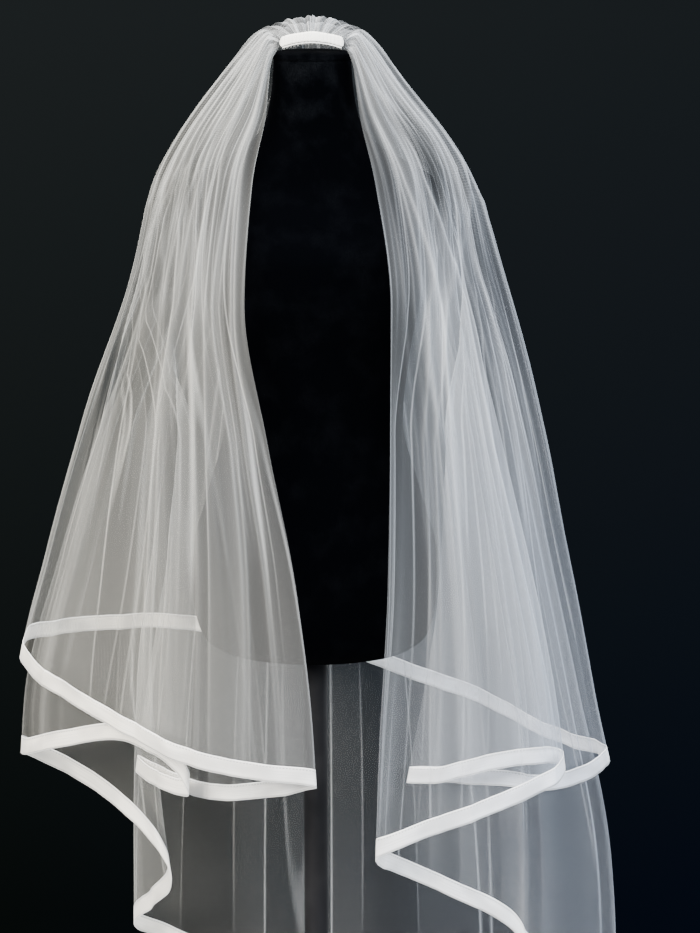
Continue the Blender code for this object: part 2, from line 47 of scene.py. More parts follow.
# --- sizes shared with the solids ---
RIBBON_WIDTH = 0.022
WAVE_DEEP = 0.014  # soft flutes of the back, at the lower hem
WAVES_PER_SIDE = 2.5
FLUTED_FROM = 0.55  # place on the drape from which the back is fluted
FLUTE_BLEND = 0.20
SINE_PASSES = 8  # smoothing of the hem's slope
STEEPEST = 0.66  # least sine between hem and fall that the ribbon follows
WALL_STEP = 0.004  # small steps for the drape's own directions
STATION_STEP = 0.020
ABOVE_HEM = 0.05  # stations above the hem where its fall is measured
COMB_HALF = 0.0390
COMB_FRONT = -0.0505
COMB_BOW = 7.0
COMB_ARCH = 5.2
BAND_TALL = 0.0115
BAND_THICK = 0.0032
BAND_MIDDLE_Z = 1.5165
BAND_CLEAR = 0.00045
INSET_COMB = 0.0065
INSET_SHOULDER = 0.0080
HANG_FROM = 3.6
PART_FROM = 2.4
PART_TO = 3.9
SHOULDER = 3.0
BUST = 4.0
WAIST = 5.0
FLOOR = 9.0
HEM_SAMPLES = 501
COMB_TO = 0.8  # stations between which inward turns from the comb's to the drape's own
DRAPE_FROM = 2.4
COMB_PULL = (0.2, 2.2, 0.95, 1.2)  # sideways at the end, sideways on top, back and down
BEYOND_FRONT = 0.75  # how far the drape's lines go on past the front fold

# the form's level sections, in half sizes
FORM_SECTIONS = (  # z, wide, front, back
    (0.725, 0.130, 0.086, 0.098),
    (0.740, 0.148, 0.098, 0.112),
    (0.790, 0.160, 0.104, 0.124),
    (0.850, 0.161, 0.103, 0.122),
    (0.930, 0.140, 0.094, 0.098),
    (1.030, 0.115, 0.084, 0.076),
    (1.110, 0.122, 0.091, 0.080),
    (1.190, 0.136, 0.106, 0.088),
    (1.240, 0.142, 0.106, 0.092),
    (1.290, 0.150, 0.080, 0.090),
    (1.318, 0.162, 0.060, 0.080),
    (1.340, 0.152, 0.052, 0.070),
    (1.362, 0.116, 0.049, 0.062),
    (1.384, 0.080, 0.047, 0.056),
    (1.410, 0.060, 0.045, 0.053),
    (1.450, 0.051, 0.044, 0.050),
    (1.486, 0.048, 0.043, 0.049),
)
CAP_TALL = 0.0126
CAP_OVER = 0.0015  # the cap stands out past the neck
CAP_RINGS = (  # share of the neck's half sizes, of the overhang and of the height
    (1.00, 0.0, 0.00),
    (1.00, 1.0, 0.25),
    (1.00, 1.0, 0.55),
    (0.86, 1.0, 0.85),
    (0.55, 0.0, 1.00),
)
POLE_RADIUS = 0.016
COLLAR_RADIUS = 0.030
COLLAR_TALL = 0.028
COLLAR_CONE = 0.0084
BASE_RADIUS = 0.185
BASE_TALL = 0.020
BASE_RIM = 0.004
SEAM_GAP = 0.0003

# --- fineness of the cloth ---
RAY_SAMPLES = 34  # columns of faces between two rays
NET_ROWS = 104
RIBBON_ROWS = 6
ROW_SPREAD = 0.9  # below 1, rows lie closer together towards the hem
RIBBON_THICK = 0.0008
NET_UNDER_RIBBON = 0.20  # of the ribbon's height, by which the net runs in behind it
FIELD_LEVELS = 90  # fineness of the table of distances along the drape
FIELD_PLACES = 160
LAST_CELL = 0.001  # keeps a look-up inside the table's last cell

# --- the outer drape: guide lines from comb to floor, with a point for each station ---
# the stations: comb, crown, neck, shoulder, bust, waist, hip, knee, calf, floor
BACK_MIDDLE = (
    (0.0, -0.030, 1.519), (0.0, 0.014, 1.538), (0.0, 0.078, 1.482), (0.0, 0.122, 1.360),
    (0.0, 0.152, 1.200), (0.0, 0.174, 1.030), (0.0, 0.192, 0.850), (0.0, 0.207, 0.650),
    (0.0, 0.218, 0.400), (0.0, 0.224, 0.120),
)
LEFT_GUIDES = (  # at around 0, 0.25, 0.5, 0.75 and 1
    ((-0.0425, -0.036, 1.501), (-0.050, -0.039, 1.485), (-0.057, -0.058, 1.420),
     (-0.073, -0.088, 1.345), (-0.083, -0.137, 1.200), (-0.055, -0.157, 1.030),
     (-0.021, -0.174, 0.850), (0.000, -0.190, 0.650), (0.008, -0.200, 0.400),
     (0.010, -0.205, 0.120)),
    ((-0.0405, -0.034, 1.512), (-0.052, -0.030, 1.518), (-0.093, -0.040, 1.448),
     (-0.150, -0.055, 1.348), (-0.176, -0.098, 1.200), (-0.187, -0.122, 1.030),
     (-0.192, -0.142, 0.850), (-0.200, -0.156, 0.650), (-0.207, -0.165, 0.400),
     (-0.210, -0.170, 0.120)),
    ((-0.0310, -0.031, 1.5165), (-0.056, -0.006, 1.523), (-0.114, 0.000, 1.461),
     (-0.192, 0.000, 1.340), (-0.232, 0.000, 1.200), (-0.297, 0.000, 1.030),
     (-0.353, 0.000, 0.850), (-0.400, 0.000, 0.650), (-0.412, 0.000, 0.400),
     (-0.414, 0.000, 0.120)),
    ((-0.0160, -0.030, 1.5185), (-0.031, 0.012, 1.533), (-0.078, 0.062, 1.462),
     (-0.150, 0.092, 1.350), (-0.190, 0.124, 1.200), (-0.222, 0.145, 1.030),
     (-0.252, 0.163, 0.850), (-0.280, 0.178, 0.650), (-0.292, 0.190, 0.400),
     (-0.296, 0.196, 0.120)),
    BACK_MIDDLE,
)
RIGHT_GUIDES = (  # at around 0, 0.25, 0.5, 0.75 and 1
    ((0.0425, -0.036, 1.501), (0.050, -0.039, 1.485), (0.060, -0.058, 1.420),
     (0.080, -0.088, 1.340), (0.100, -0.143, 1.200), (0.099, -0.160, 1.030),
     (0.096, -0.172, 0.850), (0.086, -0.188, 0.650), (0.080, -0.196, 0.400),
     (0.078, -0.200, 0.120)),
    ((0.0405, -0.034, 1.512), (0.053, -0.030, 1.518), (0.096, -0.038, 1.445),
     (0.158, -0.052, 1.345), (0.190, -0.086, 1.200), (0.228, -0.106, 1.030),
     (0.268, -0.126, 0.850), (0.306, -0.144, 0.650), (0.330, -0.152, 0.400),
     (0.340, -0.156, 0.120)),
    ((0.0310, -0.031, 1.5165), (0.057, -0.006, 1.523), (0.118, 0.000, 1.450),
     (0.195, 0.000, 1.342), (0.243, 0.004, 1.200), (0.289, 0.012, 1.030), (0.328, 0.022, 0.850),
     (0.370, 0.032, 0.650), (0.422, 0.060, 0.400), (0.448, 0.080, 0.120)),
    ((0.0160, -0.030, 1.5185), (0.031, 0.012, 1.533), (0.078, 0.062, 1.460),
     (0.150, 0.092, 1.350), (0.190, 0.124, 1.200), (0.222, 0.145, 1.030), (0.252, 0.163, 0.850),
     (0.286, 0.178, 0.650), (0.320, 0.192, 0.400), (0.336, 0.198, 0.120)),
    BACK_MIDDLE,
)

# --- the rays, in order along the hem: a row for each fold or stretch between folds ---
# around is the place on the drape, 0 at the front fold and 1 at the middle of the back,
# layer is 0 on the upper tier and 1 on the lower one above the shoulders, inset is how far inside
# the outer drape the ray runs lower down, and hem is the height of its lower end
# the columns: around_top, around_waist, around_hem, layer, inset_waist, inset_hem, hem
LEFT_UPPER = (
    (1.000, 1.000, 1.000, 0.00, 0.000, 0.000, 0.660),
    (0.880, 0.880, 0.880, 0.00, 0.000, 0.000, 0.672),
    (0.760, 0.760, 0.760, 0.00, 0.000, 0.000, 0.688),
    (0.650, 0.650, 0.650, 0.00, 0.000, 0.000, 0.700),
    (0.560, 0.560, 0.560, 0.00, 0.000, 0.000, 0.714),
    (0.500, 0.500, 0.500, 0.00, 0.000, 0.000, 0.706),
    (0.430, 0.430, 0.420, 0.00, 0.000, 0.000, 0.688),
    (0.340, 0.340, 0.330, 0.00, 0.000, 0.000, 0.661),
    (0.240, 0.240, 0.230, 0.00, 0.000, 0.000, 0.630),
    (0.170, 0.150, 0.140, 0.00, 0.000, 0.000, 0.613),
    (0.110, 0.070, 0.060, 0.00, 0.000, 0.000, 0.605),
    (0.050, 0.024, 0.020, 0.12, 0.001, 0.002, 0.602),
    (0.000, 0.000, 0.000, 0.50, 0.006, 0.008, 0.597),
)
LEFT_LOWER = (
    (0.050, 0.022, 0.018, 0.88, 0.014, 0.018, 0.590),
    (0.110, 0.050, 0.050, 1.00, 0.026, 0.036, 0.576),
    (0.170, 0.110, 0.110, 1.00, 0.038, 0.058, 0.560),
    (0.230, 0.170, 0.190, 1.00, 0.044, 0.070, 0.553),
    (0.290, 0.230, 0.270, 1.00, 0.047, 0.072, 0.561),
    (0.320, 0.250, 0.316, 1.00, 0.040, 0.064, 0.577),
    (0.345, 0.235, 0.290, 1.00, 0.033, 0.053, 0.568),
    (0.370, 0.200, 0.238, 1.00, 0.028, 0.048, 0.562),
    (0.395, 0.178, 0.212, 1.00, 0.020, 0.037, 0.570),
    (0.420, 0.200, 0.236, 1.00, 0.012, 0.025, 0.606),
    (0.450, 0.270, 0.310, 1.00, 0.010, 0.020, 0.632),
    (0.480, 0.350, 0.390, 1.00, 0.010, 0.013, 0.606),
    (0.520, 0.420, 0.452, 1.00, 0.012, 0.005, 0.580),
    (0.560, 0.470, 0.497, 1.00, 0.024, 0.012, 0.570),
    (0.610, 0.520, 0.533, 1.00, 0.042, 0.050, 0.545),
    (0.660, 0.580, 0.575, 1.00, 0.058, 0.110, 0.511),
    (0.710, 0.635, 0.615, 1.00, 0.062, 0.165, 0.468),
    (0.755, 0.690, 0.650, 1.00, 0.056, 0.205, 0.424),
    (0.785, 0.730, 0.690, 1.00, 0.048, 0.200, 0.376),
    (0.810, 0.760, 0.720, 1.00, 0.040, 0.135, 0.318),
    (0.835, 0.785, 0.745, 1.00, 0.032, 0.055, 0.254),
    (0.870, 0.830, 0.800, 1.00, 0.027, 0.026, 0.208),
    (0.930, 0.905, 0.890, 1.00, 0.024, 0.026, 0.165),
    (1.000, 1.000, 1.000, 1.00, 0.024, 0.028, 0.145),
)
RIGHT_UPPER = (
    (1.000, 1.000, 1.000, 0.00, 0.000, 0.000, 0.660),
    (0.880, 0.880, 0.880, 0.00, 0.000, 0.000, 0.596),
    (0.760, 0.760, 0.760, 0.00, 0.000, 0.000, 0.540),
    (0.660, 0.660, 0.660, 0.00, 0.000, 0.000, 0.520),
    (0.580, 0.570, 0.570, 0.00, 0.000, -0.003, 0.529),
    (0.520, 0.500, 0.490, 0.00, 0.000, -0.004, 0.538),
    (0.460, 0.420, 0.405, 0.00, 0.008, 0.024, 0.545),
    (0.400, 0.320, 0.280, 0.00, 0.018, 0.062, 0.560),
    (0.360, 0.235, 0.160, 0.00, 0.028, 0.078, 0.568),
    (0.335, 0.170, 0.085, 0.00, 0.031, 0.080, 0.574),
    (0.322, 0.135, 0.048, 0.00, 0.026, 0.070, 0.577),
    (0.308, 0.155, 0.085, 0.00, 0.021, 0.056, 0.582),
    (0.292, 0.200, 0.165, 0.00, 0.017, 0.042, 0.603),
    (0.276, 0.245, 0.245, 0.00, 0.013, 0.028, 0.609),
    (0.262, 0.270, 0.285, 0.00, 0.007, 0.015, 0.601),
    (0.245, 0.250, 0.262, 0.00, 0.000, 0.002, 0.595),
    (0.200, 0.200, 0.190, 0.00, 0.000, 0.000, 0.574),
    (0.165, 0.130, 0.110, 0.00, 0.000, 0.000, 0.546),
    (0.115, 0.060, 0.045, 0.00, 0.000, 0.000, 0.522),
    (0.050, 0.024, 0.020, 0.12, 0.001, 0.002, 0.511),
    (0.000, 0.000, 0.000, 0.50, 0.007, 0.010, 0.501),
)
RIGHT_LOWER = (
    (0.050, 0.016, 0.005, 0.88, 0.018, 0.024, 0.488),
    (0.110, 0.030, 0.014, 1.00, 0.028, 0.050, 0.471),
    (0.180, 0.070, 0.037, 1.00, 0.040, 0.098, 0.441),
    (0.255, 0.150, 0.100, 1.00, 0.044, 0.114, 0.400),
    (0.340, 0.250, 0.205, 1.00, 0.040, 0.102, 0.350),
    (0.430, 0.350, 0.315, 1.00, 0.034, 0.078, 0.294),
    (0.500, 0.430, 0.420, 1.00, 0.030, 0.044, 0.240),
    (0.560, 0.500, 0.500, 1.00, 0.026, 0.014, 0.198),
    (0.620, 0.570, 0.560, 1.00, 0.022, 0.018, 0.180),
    (0.720, 0.680, 0.670, 1.00, 0.022, 0.022, 0.168),
    (0.850, 0.830, 0.820, 1.00, 0.024, 0.026, 0.152),
    (1.000, 1.000, 1.000, 1.00, 0.024, 0.028, 0.145),
)

# --- folds laid along the drape ---
# each runs from one station to another. Its places are read at the stations of FOLD_STATIONS.
# side is +1 where the doubled cloth lies towards the back and -1 towards the front, wide is how
# far it reaches and deep how far its crest stands out, both in millimetres, and cover is how much
# cloth it adds, in layers
FOLD_STATIONS = (0.6, 2.0, 3.0, 4.0, 5.0, 7.0)
LEFT_FOLDS = (  # start, stop, places, side, wide, deep, cover
    (0.4, 9.0, (0.075, 0.080, 0.078, 0.098, 0.085, 0.112), 1, 16, 3.0, 0.9),
    (0.6, 8.0, (0.110, 0.068, 0.050, 0.040, 0.055, 0.060), -1, 9, 2.0, 0.5),
    (0.5, 9.0, (0.130, 0.173, 0.142, 0.155, 0.165, 0.188), -1, 18, 4.0, 1.0),
    (0.5, 4.6, (0.165, 0.238, 0.205, 0.262, 0.280, 0.300), 1, 12, 4.5, 0.7),
    (0.5, 9.0, (0.200, 0.262, 0.236, 0.216, 0.262, 0.275), -1, 20, 4.5, 0.9),
    (0.5, 5.2, (0.235, 0.318, 0.300, 0.425, 0.440, 0.450), 1, 14, 5.0, 0.7),
    (0.6, 9.0, (0.310, 0.450, 0.425, 0.345, 0.385, 0.420), 1, 22, 4.5, 0.7),
    (0.6, 4.0, (0.270, 0.380, 0.350, 0.372, 0.380, 0.400), -1, 9, 3.5, 0.5),
    (0.8, 5.5, (0.360, 0.500, 0.485, 0.480, 0.480, 0.480), 1, 12, 3.0, 0.4),
    (2.5, 7.5, (0.200, 0.200, 0.185, 0.200, 0.275, 0.290), 1, 10, 3.0, 0.5),
    (2.9, 9.0, (0.300, 0.300, 0.300, 0.330, 0.400, 0.440), -1, 12, 3.0, 0.4),
)
RIGHT_FOLDS = (
    (0.3, 9.0, (0.090, 0.088, 0.100, 0.150, 0.130, 0.118), 1, 26, 3.5, 1.1),
    (0.4, 9.0, (0.092, 0.190, 0.172, 0.228, 0.225, 0.250), -1, 20, 4.0, 0.9),
    (0.6, 3.3, (0.160, 0.205, 0.300, 0.330, 0.330, 0.330), -1, 8, 4.0, 0.5),
    (0.5, 3.2, (0.228, 0.335, 0.372, 0.380, 0.380, 0.380), 1, 16, 5.0, 1.0),
    (0.5, 3.2, (0.200, 0.290, 0.352, 0.370, 0.370, 0.370), 1, 6, 3.0, 0.5),
    (2.9, 9.0, (0.370, 0.370, 0.367, 0.165, 0.095, 0.080), 1, 10, 4.0, 0.6),
    (2.9, 9.0, (0.365, 0.365, 0.365, 0.390, 0.352, 0.305), 1, 26, 4.0, 0.9),
    (0.5, 9.0, (0.300, 0.500, 0.480, 0.490, 0.480, 0.480), 1, 20, 4.0, 0.6),
    (0.7, 9.0, (0.340, 0.450, 0.430, 0.300, 0.278, 0.268), -1, 14, 3.5, 0.6),
    (3.2, 9.0, (0.300, 0.300, 0.310, 0.265, 0.225, 0.240), -1, 12, 3.0, 0.4),
)
# creases across the shoulders, in the same columns as a line of stations and places
LEFT_CREASES = (  # stations, places, wide, deep, cover
    ((3.22, 3.05, 2.90, 2.58), (0.588, 0.328, 0.247, 0.217), 3.0, 3.0, 0.5),
    ((3.14, 3.31, 3.49, 3.75), (0.422, 0.315, 0.300, 0.345), 3.0, 2.5, 0.4),
    ((3.45, 3.30, 3.10, 2.85), (0.640, 0.470, 0.360, 0.300), 3.5, 2.5, 0.3),
)
RIGHT_CREASES = (
    ((3.12, 3.02, 2.85, 2.60), (0.300, 0.372, 0.440, 0.470), 3.0, 3.0, 0.5),
    ((3.05, 2.95, 2.75, 2.45), (0.362, 0.340, 0.300, 0.262), 2.5, 3.0, 0.5),
    ((3.00, 3.10, 3.30, 3.55), (0.372, 0.430, 0.520, 0.600), 3.5, 2.5, 0.3),
)
SOFT = 0.0022  # how quickly a fold's open side falls away
CREST_HALF = 0.0011  # half the width of the bright line along a fold
CREST_COVER = 13.0  # of that line, for each layer that the fold adds
GRAIN = 0.8  # no line is narrower than this share of the grid's faces
FADE_IN = 0.5  # stations over which a fold starts and stops
FADE_OUT = 0.8
SWELL = ((0, 1, 2, 3, 9), (0.1, 0.3, 0.75, 1.0, 1.2))  # stations, share of a fold's depth
SPREAD = ((0, 1, 3, 7), (0.2, 0.45, 1.0, 1.5))  # stations, share of a fold's width
LINES_SEEN = ((0, 4.2, 6.0, 7.5), (1.0, 1.0, 0.40, 0.18))  # stations, share of the bright line
CREASE_FADE = 0.3
CREASE_SLANT = 3.0  # how much a slanting crease is narrowed, to keep its true width
CREASE_SEEN = 0.4  # of the cover that a fold's bright line would have

# --- bands of thinner cloth, and with a share over 1 of denser cloth ---
THIN_FADE = 0.8  # stations over which a band starts and stops
THIN_EDGE = 0.16  # share of its half width over which its side blends
RIGHT_THIN = (  # start, stop, places, half width in millimetres, share of the cloth left
    (1.9, 3.6, (0.26, 0.250, 0.255, 0.245, 0.240, 0.240), 20, 0.30),
    (1.2, 3.9, (0.05, 0.050, 0.045, 0.040, 0.040, 0.040), 10, 0.60),
    (3.3, 9.0, (0.45, 0.45, 0.440, 0.460, 0.470, 0.480), 22, 0.62),
    (3.4, 9.0, (0.20, 0.20, 0.180, 0.190, 0.210, 0.220), 42, 1.9),
    (3.7, 4.7, (0.24, 0.240, 0.240, 0.240, 0.240, 0.240), 22, 0.70),
)
LEFT_THIN = (
    (2.2, 3.8, (0.28, 0.270, 0.235, 0.210, 0.210, 0.210), 8, 0.25),
    (2.6, 3.9, (0.09, 0.090, 0.092, 0.105, 0.105, 0.105), 5, 0.35),
    (2.6, 3.7, (0.40, 0.400, 0.385, 0.370, 0.370, 0.370), 9, 0.50),
    (1.2, 3.6, (0.03, 0.030, 0.030, 0.035, 0.035, 0.035), 8, 0.60),
    (3.0, 9.0, (0.42, 0.42, 0.420, 0.400, 0.430, 0.450), 24, 0.48),
    (2.0, 3.9, (0.60, 0.600, 0.600, 0.590, 0.580, 0.580), 20, 0.60),
    (3.9, 5.4, (0.43, 0.415, 0.405, 0.395, 0.390, 0.390), 26, 0.55),
    (2.2, 5.0, (0.56, 0.560, 0.560, 0.540, 0.520, 0.500), 16, 0.60),
)

# --- smaller folds, placed by chance ---
LOOSE_FOLDS = 20  # for each side
LOOSE_PLACE = (0.1, 0.9)  # within each fold's own share of the side
LOOSE_DRIFT = 0.010
LOOSE_STARTS = (0.3, 0.5, 1.2, 2.6)
LOOSE_STOPS = (2.6, 4.4, 6.0, 9.0)
LOOSE_WIDE = (5, 16)
LOOSE_DEEP = (0.8, 2.4)
LOOSE_COVER = (0.10, 0.38)
KEEP_OFF = 0.004  # from the front fold and from the middle of the back

# --- gathers at the comb, and ripples of the ribbon ---
GATHERS = (  # waves to a side, height at the crown, how far a wave leans on its way down
    (9.0, 0.0012, 0.9),
    (17.0, 0.0007, -1.3),
    (31.0, 0.0002, 1.1),
)
GATHER_RISE = ((0, 0.5, 1.2, 2.5, 4.5, 9), (0.35, 0.9, 1.0, 0.8, 0.35, 0.25))
GATHER_BEND = (0.6, 9.0)  # how far a wave wanders, and how often across the side
GATHER_LEAN = (0.25, 1.1)  # the same on its way down
COMB_HOLD = 0.35  # stations over which relief grows from nothing at the comb
HEM_HOLD = 1.2  # stations over which the ribbon calms the folds
HEM_KEEPS = 0.30  # share of their height that is left at the hem
RIPPLES = ((0.113, 0.0009), (0.067, 0.0008), (0.041, 0.0005), (0.023, 0.00015))  # long, tall
RIPPLES_REACH = 0.35  # stations above the hem
RIPPLES_SHIFT = 900.0

# --- how much cloth is seen ---
MOST_GATHERED = 30.0
FULLNESS_POWER = 0.05  # how much of the gathered width shows as extra cover
FULLEST = 1.2
PUFF_COVER = 100.0  # extra share of cover for each metre that a gather stands out
AIRY = (  # stations, cloth seen there
    (0, 0.4, 1.2, 3.0, 4.2, 5.5, 7.0),
    (1.1, 0.85, 0.50, 0.46, 0.48, 0.75, 1.0),
)
COVER_LIMITS = (0.05, 6.0)

# --- the form, the band and the stand ---
FORM_SIDES = 128
FORM_RINGS = 150
SEAMS = (-math.pi / 2, math.pi / 2, -1.05, -2.09, 1.05, 2.09, 0.0, math.pi)
SEAM_WIDE = 0.028
SEAM_DEEP = 0.0009
CAP_COUNT = 40
BAND_RINGS = 260
BAND_SIDES = 32
BAND_END = 0.0030  # length over which each end of the band is rounded
BAND_BLUNT = 0.09  # square of the share of its size that is left at the very end
BAND_LUMP = (0.00035, 190.0, 1.3)  # height, waves and start of the top edge's unevenness
TAPE_TURNS = 210.0  # to the metre
TAPE_STEP = 0.00022
TAPE_UNEVEN = (0.06, 300.0)
TAPE_SIDES = (0.3, 0.25)  # shares of a turn over which the tape rises and falls
TURN_SIDES = 96
ARC_STEPS = 7
POLE_ROUND = 0.004

# --- light, floor and camera ---
FLOOR_RADIUS = 0.58
FLOOR_DROP = 0.0005
CAMERA_PLACE = (0.0465, -2.6, 1.62)
CAMERA_DOWN = 14.1  # degrees
CAMERA_LENS = 106.1
CAMERA_SENSOR = 36.0
FILL = 0.24
FILL_COLOUR = (0.80, 0.88, 1.0, 1)
LIGHTS = (  # name, place, target, size, power, colour
    ("key_left", (-1.9, -2.4, 2.6), (0, 0, 1.0), 1.6, 450, (1.0, 0.965, 0.90)),
    ("fill_right", (2.2, -2.0, 1.8), (0, 0, 0.9), 1.8, 200, (0.86, 0.93, 1.0)),
    ("top", (0.2, -0.2, 3.4), (0, 0, 1.2), 1.4, 152, (1.0, 1.0, 1.0)),
    ("back_left", (-1.6, 2.0, 1.8), (0, 0, 1.0), 1.2, 76, (0.95, 0.97, 1.0)),
    ("back_right", (1.7, 1.8, 1.5), (0, 0, 1.0), 1.2, 76, (0.90, 0.95, 1.0)),
)
BACKDROP = (  # the dark beyond, from its four corners
    (0.0155, 0.0190, 0.0198), (0.0125, 0.0158, 0.0182),
    (0.0030, 0.0045, 0.0042), (0.0020, 0.0040, 0.0095),
)
BACKDROP_ACROSS = (-0.16, 0.18)  # directions between which its corners blend
BACKDROP_UP = (-0.44, -0.03)


def eased(share):
    """A smooth step from 0 to 1."""
    share = np.clip(share, 0, 1)
    return share * share * (3 - 2 * share)


def unit(vectors):
    """Vectors of length 1 along the last axis."""
    return vectors / np.maximum(np.linalg.norm(vectors, axis=-1, keepdims=True), 1e-9)


def smooth_through(values, at):
    """Catmull-Rom curve through rows of values, read at fractional row numbers."""
    values = np.asarray(values, float)
    last = len(values) - 1
    low = np.clip(np.floor(at).astype(int), 0, last - 1)
    part = (np.asarray(at, float) - low).reshape(-1, *([1] * (values.ndim - 1)))
    padded = np.concatenate([[2 * values[0] - values[1]], values, [2 * values[-1] - values[-2]]])
    before, start, end, after = (padded[low + k] for k in range(4))
    return 0.5 * (
        2 * start
        + (end - before) * part
        + (2 * before - 5 * start + 4 * end - after) * part**2
        + (3 * start - before - 3 * end + after) * part**3
    )


def monotone(values, at):
    """Monotone cubic (never past its points) through rows of values, at fractional rows."""
    values = np.asarray(values, float)
    step = np.diff(values, axis=0)
    slope = np.zeros_like(values)
    same = step[:-1] * step[1:] > 0
    total = np.where(same, step[:-1] + step[1:], 1.0)
    slope[1:-1] = np.where(same, 2 * step[:-1] * step[1:] / total, 0.0)
    slope[0] = step[0]
    slope[-1] = step[-1]
    last = len(values) - 1
    low = np.clip(np.floor(at).astype(int), 0, last - 1)
    t = (np.asarray(at, float) - low).reshape(-1, *([1] * (values.ndim - 1)))
    return (
        values[low] * (2 * t**3 - 3 * t**2 + 1)
        + slope[low] * (t**3 - 2 * t**2 + t)
        + values[low + 1] * (3 * t**2 - 2 * t**3)
        + slope[low + 1] * (t**3 - t**2)
    )


def comb_line(x):
    """Depth of the band's middle line at x."""
    return COMB_FRONT + COMB_BOW * x * x


class Drape:
    """The outer drape of one side, read at (around, station)."""

    def __init__(self, own, other):
        rows = [np.array(points, float) for points in own]
        beyond_back = np.array(other[-2], float)
        beyond_front = 2 * rows[0] - rows[1]
        beyond_front[:, 0] = rows[0][:, 0] + BEYOND_FRONT * (rows[0][:, 0] - rows[1][:, 0])
        self.rows = np.array([beyond_front] + rows + [beyond_back])
        for row in self.rows:
            row[0, 1] = comb_line(row[0, 0]) + BAND_THICK / 2 + BAND_CLEAR

    def at(self, around, station):
        """Points for arrays of around and station of one shape."""
        around = np.asarray(around, float)
        shape = around.shape
        around = around.ravel()
        station = np.asarray(station, float).ravel()
        lines = monotone(np.moveaxis(self.rows, 1, 0), station)
        place = np.clip(around, 0.0, 1.0) * 4 + 1
        low = np.clip(np.floor(place).astype(int), 1, 4)
        t = (place - low)[:, None]
        pick = np.arange(len(low))
        before = lines[pick, low - 1]
        start = lines[pick, low]
        end = lines[pick, low + 1]
        after = lines[pick, np.minimum(low + 2, 6)]
        found = 0.5 * (
            2 * start
            + (end - before) * t
            + (2 * before - 5 * start + 4 * end - after) * t**2
            + (3 * start - before - 3 * end + after) * t**3
        )
        return found.reshape(*shape, 3)

    def inward(self, around, station, side):
        """Unit vectors that point inside the drape."""
        along = self.at(around + WALL_STEP, station) - self.at(around - WALL_STEP, station)
        down = self.at(around, station + STATION_STEP) - self.at(around, station - STATION_STEP)
        normal = unit(np.cross(along, down) * side)
        near = 1 - eased((station - COMB_TO) / (DRAPE_FROM - COMB_TO))[..., None]
        q = np.clip(around, 0, 1)
        end_pull, top_pull, back_pull, down_pull = COMB_PULL
        sideways = end_pull * (1 - q) + top_pull * q
        comb = np.stack(
            [-side * (1 - q) * sideways, back_pull * (1 - q), -down_pull * q], axis=-1
        )
        return unit(unit(comb) * near + normal * (1 - near))


def hem_stations(drape, around, heights):
    """Stations at which lines of the drape come down to given heights."""
    stations = np.linspace(BUST, FLOOR, HEM_SAMPLES)
    places, levels = np.meshgrid(around, stations, indexing="ij")
    falls = -drape.at(places, levels)[..., 2]
    return np.array([
        np.interp(-height, fall, stations) for height, fall in zip(heights, falls)
    ])


def place_rays(drape, side, station, ends, fine, relief=0.0):
    """Points and places on the drape for stations (rows, rays).

    A ray starts at its top place, swings to its waist place below the bust and to its hem place at
    the hem. Its inset grows the same way. relief is a height that stands out from the drape.
    """
    top, waist, hem_at, layer, in_waist, in_hem, _ = fine.T
    fall = eased((station - HANG_FROM) / (WAIST - HANG_FROM))
    part = eased((station - PART_FROM) / (PART_TO - PART_FROM))
    low = np.clip((station - WAIST) / (ends - WAIST), 0, 1)
    around = top + (waist - top) * fall + (hem_at - waist) * low
    near = np.clip(station / SHOULDER, 0, 1)
    inset_top = layer * (INSET_COMB + (INSET_SHOULDER - INSET_COMB) * near)
    inset = inset_top + (in_waist - inset_top) * part + (in_hem - in_waist) * low
    back = eased((around - FLUTED_FROM) / FLUTE_BLEND)
    depth = np.clip((station - BUST) / (FLOOR - BUST), 0, 1)
    wave = np.cos(2 * math.pi * WAVES_PER_SIDE * (1 - around) / (1 - FLUTED_FROM))
    inset = inset + WAVE_DEEP * depth * back * (1 - wave) / 2
    inward = drape.inward(around, station, side)
    return drape.at(around, station) + inward * (inset - relief)[..., None], around


